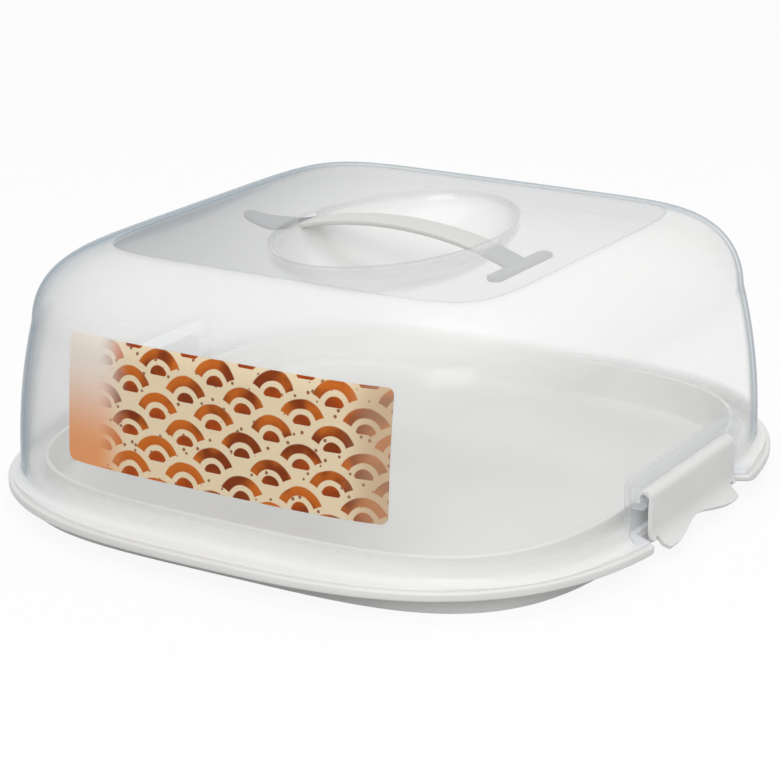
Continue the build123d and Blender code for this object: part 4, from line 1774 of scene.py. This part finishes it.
# ---- strap handle ------------------------------------------------------------------------------
@dataclass
class Strap:
    """The flexible strap: an arched band with a leaf-shaped tongue and a T-shaped end."""

    slot_x: float = 50.5
    at_slot: float = 121.1
    apex: float = 127.7
    half: float = 8.65
    thickness: float = 2.6
    edge: float = 0.95
    stem: float = 16.5
    stem_drop: float = 5.9
    tongue: float = 36.5
    tongue_dip: float = 2.6
    tongue_start: float = 11.5
    barb: tuple = (11.0, 2.5)
    barb_end: float = 1.6
    tip_half: float = 4.0
    tip_round: float = 4.0
    tip_least: float = 0.04
    tip_turn: float = 0.03
    tip_point: float = 0.02
    leaf_from: float = 5.0
    band_from: float = 1.5
    crown: float = 0.25
    crown_end: tuple = (5.0, 8.0)
    crown_half: float = 7.0
    tee: tuple = (27.0, 4.0)
    tee_round: float = 2.4
    crisp: float = 38.0

    @property
    def tip(self) -> float:
        """The x of the leaf's tip."""
        return -self.slot_x - self.tongue

    @property
    def neck(self) -> float:
        """The x where the leaf begins."""
        return -self.slot_x - self.tongue_start

    def height(self, x: Array) -> Array:
        """Height of the strap's middle: an arch between the slots, a straight stem and a dip.

        The arch is a parabola, 1 - (x/a)^2, and the dip under the tongue is half a sine wave.

        Args:
            x: Places along the strap.

        Returns:
            Heights, one for each place.
        """
        away = np.minimum(np.abs(x) / self.slot_x, 1)
        arch = self.at_slot + (self.apex - self.at_slot) * (1 - away**2)
        past = np.maximum(x - self.slot_x, 0) / self.stem
        share = np.clip((-self.slot_x - x) / self.tongue, 0, 1)
        return arch - self.stem_drop * past - self.tongue_dip * np.sin(math.pi * share)

    def half_width(self, x: Array) -> Array:
        """Half width along the strap, with the leaf's shoulders and its rounded tip.

        Straight runs between the leaf's places, times the root of 1 - (1 - t)^2 over the tip.

        Args:
            x: Places along the strap.

        Returns:
            Half widths, one for each place.
        """
        places = (self.tip, self.neck - self.barb[1], self.neck)
        broad = np.interp(x, places, (self.tip_half, self.barb[0], self.half))
        near = np.clip((x - self.tip) / self.tip_round, 0, 1)
        return broad * np.sqrt(np.clip(1 - (1 - near) ** 2, self.tip_least**2, 1))

    def _section(self, half_width: Array) -> tuple[Array, Array]:
        """A rounded rectangle round the strap: across and upward places for each station.

        Each corner is its own centre plus r times (cos, sin) over a quarter turn.

        Args:
            half_width: Half widths, one for each station.

        Returns:
            Two arrays (stations, points of the section).
        """
        turn = quarter_turn(5)
        sine, cosine = np.sin(turn), np.cos(turn)
        corner_x = np.concatenate([cosine, -sine, -cosine, sine])
        corner_y = np.concatenate([sine, cosine, -sine, -cosine])
        sign_x = np.repeat([1, -1, -1, 1], 5)
        sign_y = np.repeat([1, 1, -1, -1], 5)
        half_width = half_width[:, None]
        corner = np.minimum(self.edge, half_width)
        across = sign_x * (half_width - corner) + corner * corner_x
        upward = sign_y * (self.thickness / 2 - self.edge) + self.edge * corner_y
        return across, np.broadcast_to(upward, across.shape)

    def band(self) -> Piece:
        """The band from the leaf's tip to the end of the stem.

        Its top is crowned by c * (1 - (y/b)^2) between the slots, and is flat near them.

        Returns:
            The band as a closed solid.
        """
        parts = [
            self.tip + self.tip_round * (1 - np.cos(np.linspace(self.tip_turn, math.pi / 2, 8))),
            np.linspace(self.tip + self.leaf_from, self.neck - self.barb[1], 8),
            np.linspace(self.neck - self.barb_end, self.neck, 3),
            np.linspace(self.neck + self.band_from, self.slot_x + self.stem, 90),
        ]
        x = np.concatenate(parts)
        half = self.half_width(x)
        across, upward = self._section(half)
        gap, run = self.crown_end
        clear = np.clip((self.slot_x - gap - np.abs(x)) / run, 0, 1) * (half > self.crown_half)
        crown = self.crown * clear[:, None] * (1 - (across / self.barb[0]) ** 2) * (upward > 0)
        z = self.height(x)[:, None] + upward + crown
        rows = np.stack([np.broadcast_to(x[:, None], z.shape), across, z], axis=-1)
        first, last = self.height(x[[0, -1]])
        return turned("strap_handle", rows, (x[0] - self.tip_point, 0, first), (x[-1], 0, last))

    def bar(self) -> Piece:
        """The bar of the T, a rounded section carried along Y with rounded ends.

        Returns:
            The bar as a closed solid.
        """
        long, wide = self.tee
        centre = self.slot_x + self.stem
        level = float(self.height(centre))
        straight = long - self.tee_round
        end = straight + self.tee_round * np.sin(quarter_turn(7))
        y = np.concatenate([-end[::-1], np.linspace(-straight, straight, 12)[1:-1], end])
        past = np.maximum(np.abs(y) - straight, 0)
        across, upward = self._section(wide - fall(past, self.tee_round))
        y = np.broadcast_to(y[:, None], across.shape)
        rows = np.stack([centre + across, y, level + upward], axis=-1)
        return turned("bar", rows, (centre, -long, level), (centre, long, level))

    def build(self, material: Material) -> Piece:
        """Make the strap, dress it and put it in its place on the frame.

        Args:
            material: The strap's plastic.

        Returns:
            The strap.
        """
        strap = self.band()
        combine(strap, [self.bar()], Cut.JOIN)
        dress(strap, self.crisp, material)
        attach(strap, "handle")
        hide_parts("carry_handle")
        return strap


# ---- label -------------------------------------------------------------------------------------
@dataclass
class Label:
    """The printed film on the front wall."""

    dome: Dome
    centre: float = 2.0
    half: float = 84.0
    bottom: float = 39.8
    height: float = 59.4
    corner: float = 3.5
    gap: float = 0.1
    thickness: float = 0.35
    stations: tuple = (0.1, 1.6, 600)
    crisp: float = 40.0

    def _sheet(self, grow: float) -> Array:
        """Points on the wall, moved out by a distance, inside a rounded rectangle.

        Across and height are set by the rectangle, and the depth is the reach of the dome's
        superellipse there: -b * (1 - |x/a|^n) to the power 1/n.

        Args:
            grow: Distance outwards from the wall.

        Returns:
            Array (rows, columns, 3).
        """
        curl = self.corner * (1 - np.cos(quarter_turn(7)))
        straight = np.linspace(self.corner, self.height - self.corner, 24)[1:-1]
        rise = np.concatenate([curl, straight, self.height - curl[::-1]])
        from_edge = np.minimum(np.minimum(rise, self.height - rise), self.corner)
        wide = self.half - fall(self.corner - from_edge, self.corner)
        x = self.centre + wide[:, None] * np.linspace(-1, 1, 61)
        level = np.broadcast_to(self.bottom + rise[:, None], x.shape)
        half_x, half_y, power = self.dome.sizes_at(level, grow, *self.stations)
        return np.stack([x, -reach_at(half_y, half_x, power, x), level], axis=-1)

    def build(self, finish: PrintedFilm, texture: Tree) -> Piece:
        """Make the film, dress it and put it in its place on the frame.

        Args:
            finish: The film's finish.
            texture: The shared mould texture.

        Returns:
            The film.
        """
        outer, inner = self._sheet(self.gap + self.thickness), self._sheet(self.gap)
        index = grid(*outer.shape[:2])
        count = index.size
        border = np.concatenate([index[0, :-1], index[:-1, -1], index[-1, :0:-1], index[:0:-1, 0]])
        ahead = np.roll(border, -1)
        rim = np.stack([border, border + count, ahead + count, ahead], axis=-1)
        front = sheet_faces(*outer.shape[:2])
        faces = np.concatenate([front, front[:, ::-1] + count, rim]).tolist()
        film = solid("printed_label", np.concatenate([outer, inner]).reshape(-1, 3), faces)
        low = (self.centre - self.half, self.bottom)
        high = (self.centre + self.half, self.bottom + self.height)
        dress(film, self.crisp, finish.material(texture, low, high))
        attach(film, "lid")
        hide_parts("front_label")
        return film


# ---- stage -------------------------------------------------------------------------------------
@dataclass
class Studio:
    """A white floor and world, soft lamps and the camera, with places and sizes in metres."""

    eye: tuple = (0.604896, -1.018464, 0.42806)
    azimuth: float = 30.86
    elevation: float = 18.0
    lens: float = 117.78
    sensor: float = 36.0
    clip: tuple = (0.05, 50.0)
    lamps: tuple = (
        ("overhead", (0.0, 0.0, 1.8), (1.4, 1.4), 7.5),
        ("front right", (0.9, -1.4, 1.2), (1.2, 1.0), 16.0),
    )
    lamp_target: tuple = (0.0, 0.0, 0.07)
    floor_half: float = 3.0
    floor_tones: tuple = ((0.50, 0.50, 0.50), (0.98, 0.98, 0.98))
    floor_roughness: float = 0.9
    floor_glow: float = 0.90
    world_light: tuple = (0.50, 1.0)

    def floor(self) -> None:
        """A white floor that stays white to the eye and keeps the object's soft shadow."""
        half = self.floor_half
        corners = [(x * half, y * half, 0) for x, y in ((-1, -1), (1, -1), (1, 1), (-1, 1))]
        mesh = bpy.data.meshes.new("floor")
        mesh.from_pydata(corners, [], [(0, 1, 2, 3)])
        floor = placed("floor", mesh)
        material, desk, shader, output = new_material("white_floor")
        seen = self._seen(desk)
        desk.feed(shader, "Base Color", desk.mix(seen, *self.floor_tones))
        desk.feed(shader, "Roughness", self.floor_roughness)
        glow = desk.add("Emission", {"Color": (1, 1, 1, 1), "Strength": 1.0}).outputs[0]
        share = desk.times(seen, self.floor_glow)
        mixed = desk.add("MixShader", {0: share, 1: shader.outputs[0], 2: glow})
        desk.feed(output, "Surface", mixed.outputs[0])
        mesh.materials.append(material)

    @staticmethod
    def _seen(desk: NodeDesk) -> Socket:
        """1 on a ray from the eye, or one mirrored or passed through glass, and 0 on the rest.

        Args:
            desk: The desk of a material or of the world.

        Returns:
            The mask's output.
        """
        path = desk.add("LightPath").outputs
        seen = desk.most(path["Is Camera Ray"], path["Is Glossy Ray"])
        return desk.most(seen, path["Is Transmission Ray"])

    def world(self) -> None:
        """White to the eye, and a softer even light on the object."""
        world = bpy.data.worlds.new("studio")
        world.use_nodes = True
        bpy.context.scene.world = world
        desk = NodeDesk(world.node_tree)
        back = next(node for node in world.node_tree.nodes if node.type == "BACKGROUND")
        desk.feed(back, "Color", (1, 1, 1, 1))
        desk.feed(back, "Strength", desk.mix_value(self._seen(desk), *self.world_light))

    def lamp(self, name: str, place: tuple, size: tuple, power: float) -> None:
        """A soft rectangular lamp that faces the object.

        Args:
            name: The lamp's name.
            place: Where it stands.
            size: Its width and height.
            power: Its power in watts.
        """
        data = bpy.data.lights.new(name, "AREA")
        data.shape = "RECTANGLE"
        data.size, data.size_y = size
        data.energy = power
        lamp = placed(name, data)
        lamp.location = place
        aim = Vector(self.lamp_target) - Vector(place)
        lamp.rotation_euler = aim.to_track_quat("-Z", "Y").to_euler()

    def camera(self) -> None:
        """The camera at its fitted place, looking along its fitted direction."""
        turn, tilt = math.radians(self.azimuth), math.radians(self.elevation)
        level = math.cos(tilt)
        back = np.array([math.sin(turn) * level, -math.cos(turn) * level, math.sin(tilt)])
        right = np.array([math.cos(turn), math.sin(turn), 0.0])
        data = bpy.data.cameras.new("camera")
        data.lens = self.lens
        data.sensor_width = self.sensor
        data.clip_start, data.clip_end = self.clip
        camera = placed("camera", data)
        pose = Matrix((right, np.cross(back, right), back)).transposed().to_4x4()
        pose.translation = self.eye
        camera.matrix_world = pose
        bpy.context.scene.camera = camera

    def build(self) -> None:
        """Set up the floor, world, lamps, camera and view."""
        self.floor()
        self.world()
        for lamp in self.lamps:
            self.lamp(*lamp)
        self.camera()
        bpy.context.scene.view_settings.view_transform = "Standard"


def main() -> None:
    """Build every piece in order."""
    logging.basicConfig(level=logging.INFO, format="%(name)s: %(message)s")
    texture = mould_texture()
    dome = Dome()
    made = [
        Tray().build(WhitePlastic("tray_white").material(texture)),
        Lid(dome).build(ClearPlastic("milky_clear").material(texture)),
        *build_clips(WhitePlastic("clip_white", roughness=0.26).material(texture)),
        Strap().build(StrapPlastic("strap_white").material(texture)),
        Label(dome).build(PrintedFilm("warm_print"), texture),
    ]
    for piece in made:
        LOG.info("%s: %d faces", piece.name, len(piece.data.polygons))
    Studio().build()


if __name__ == "__main__":
    main()
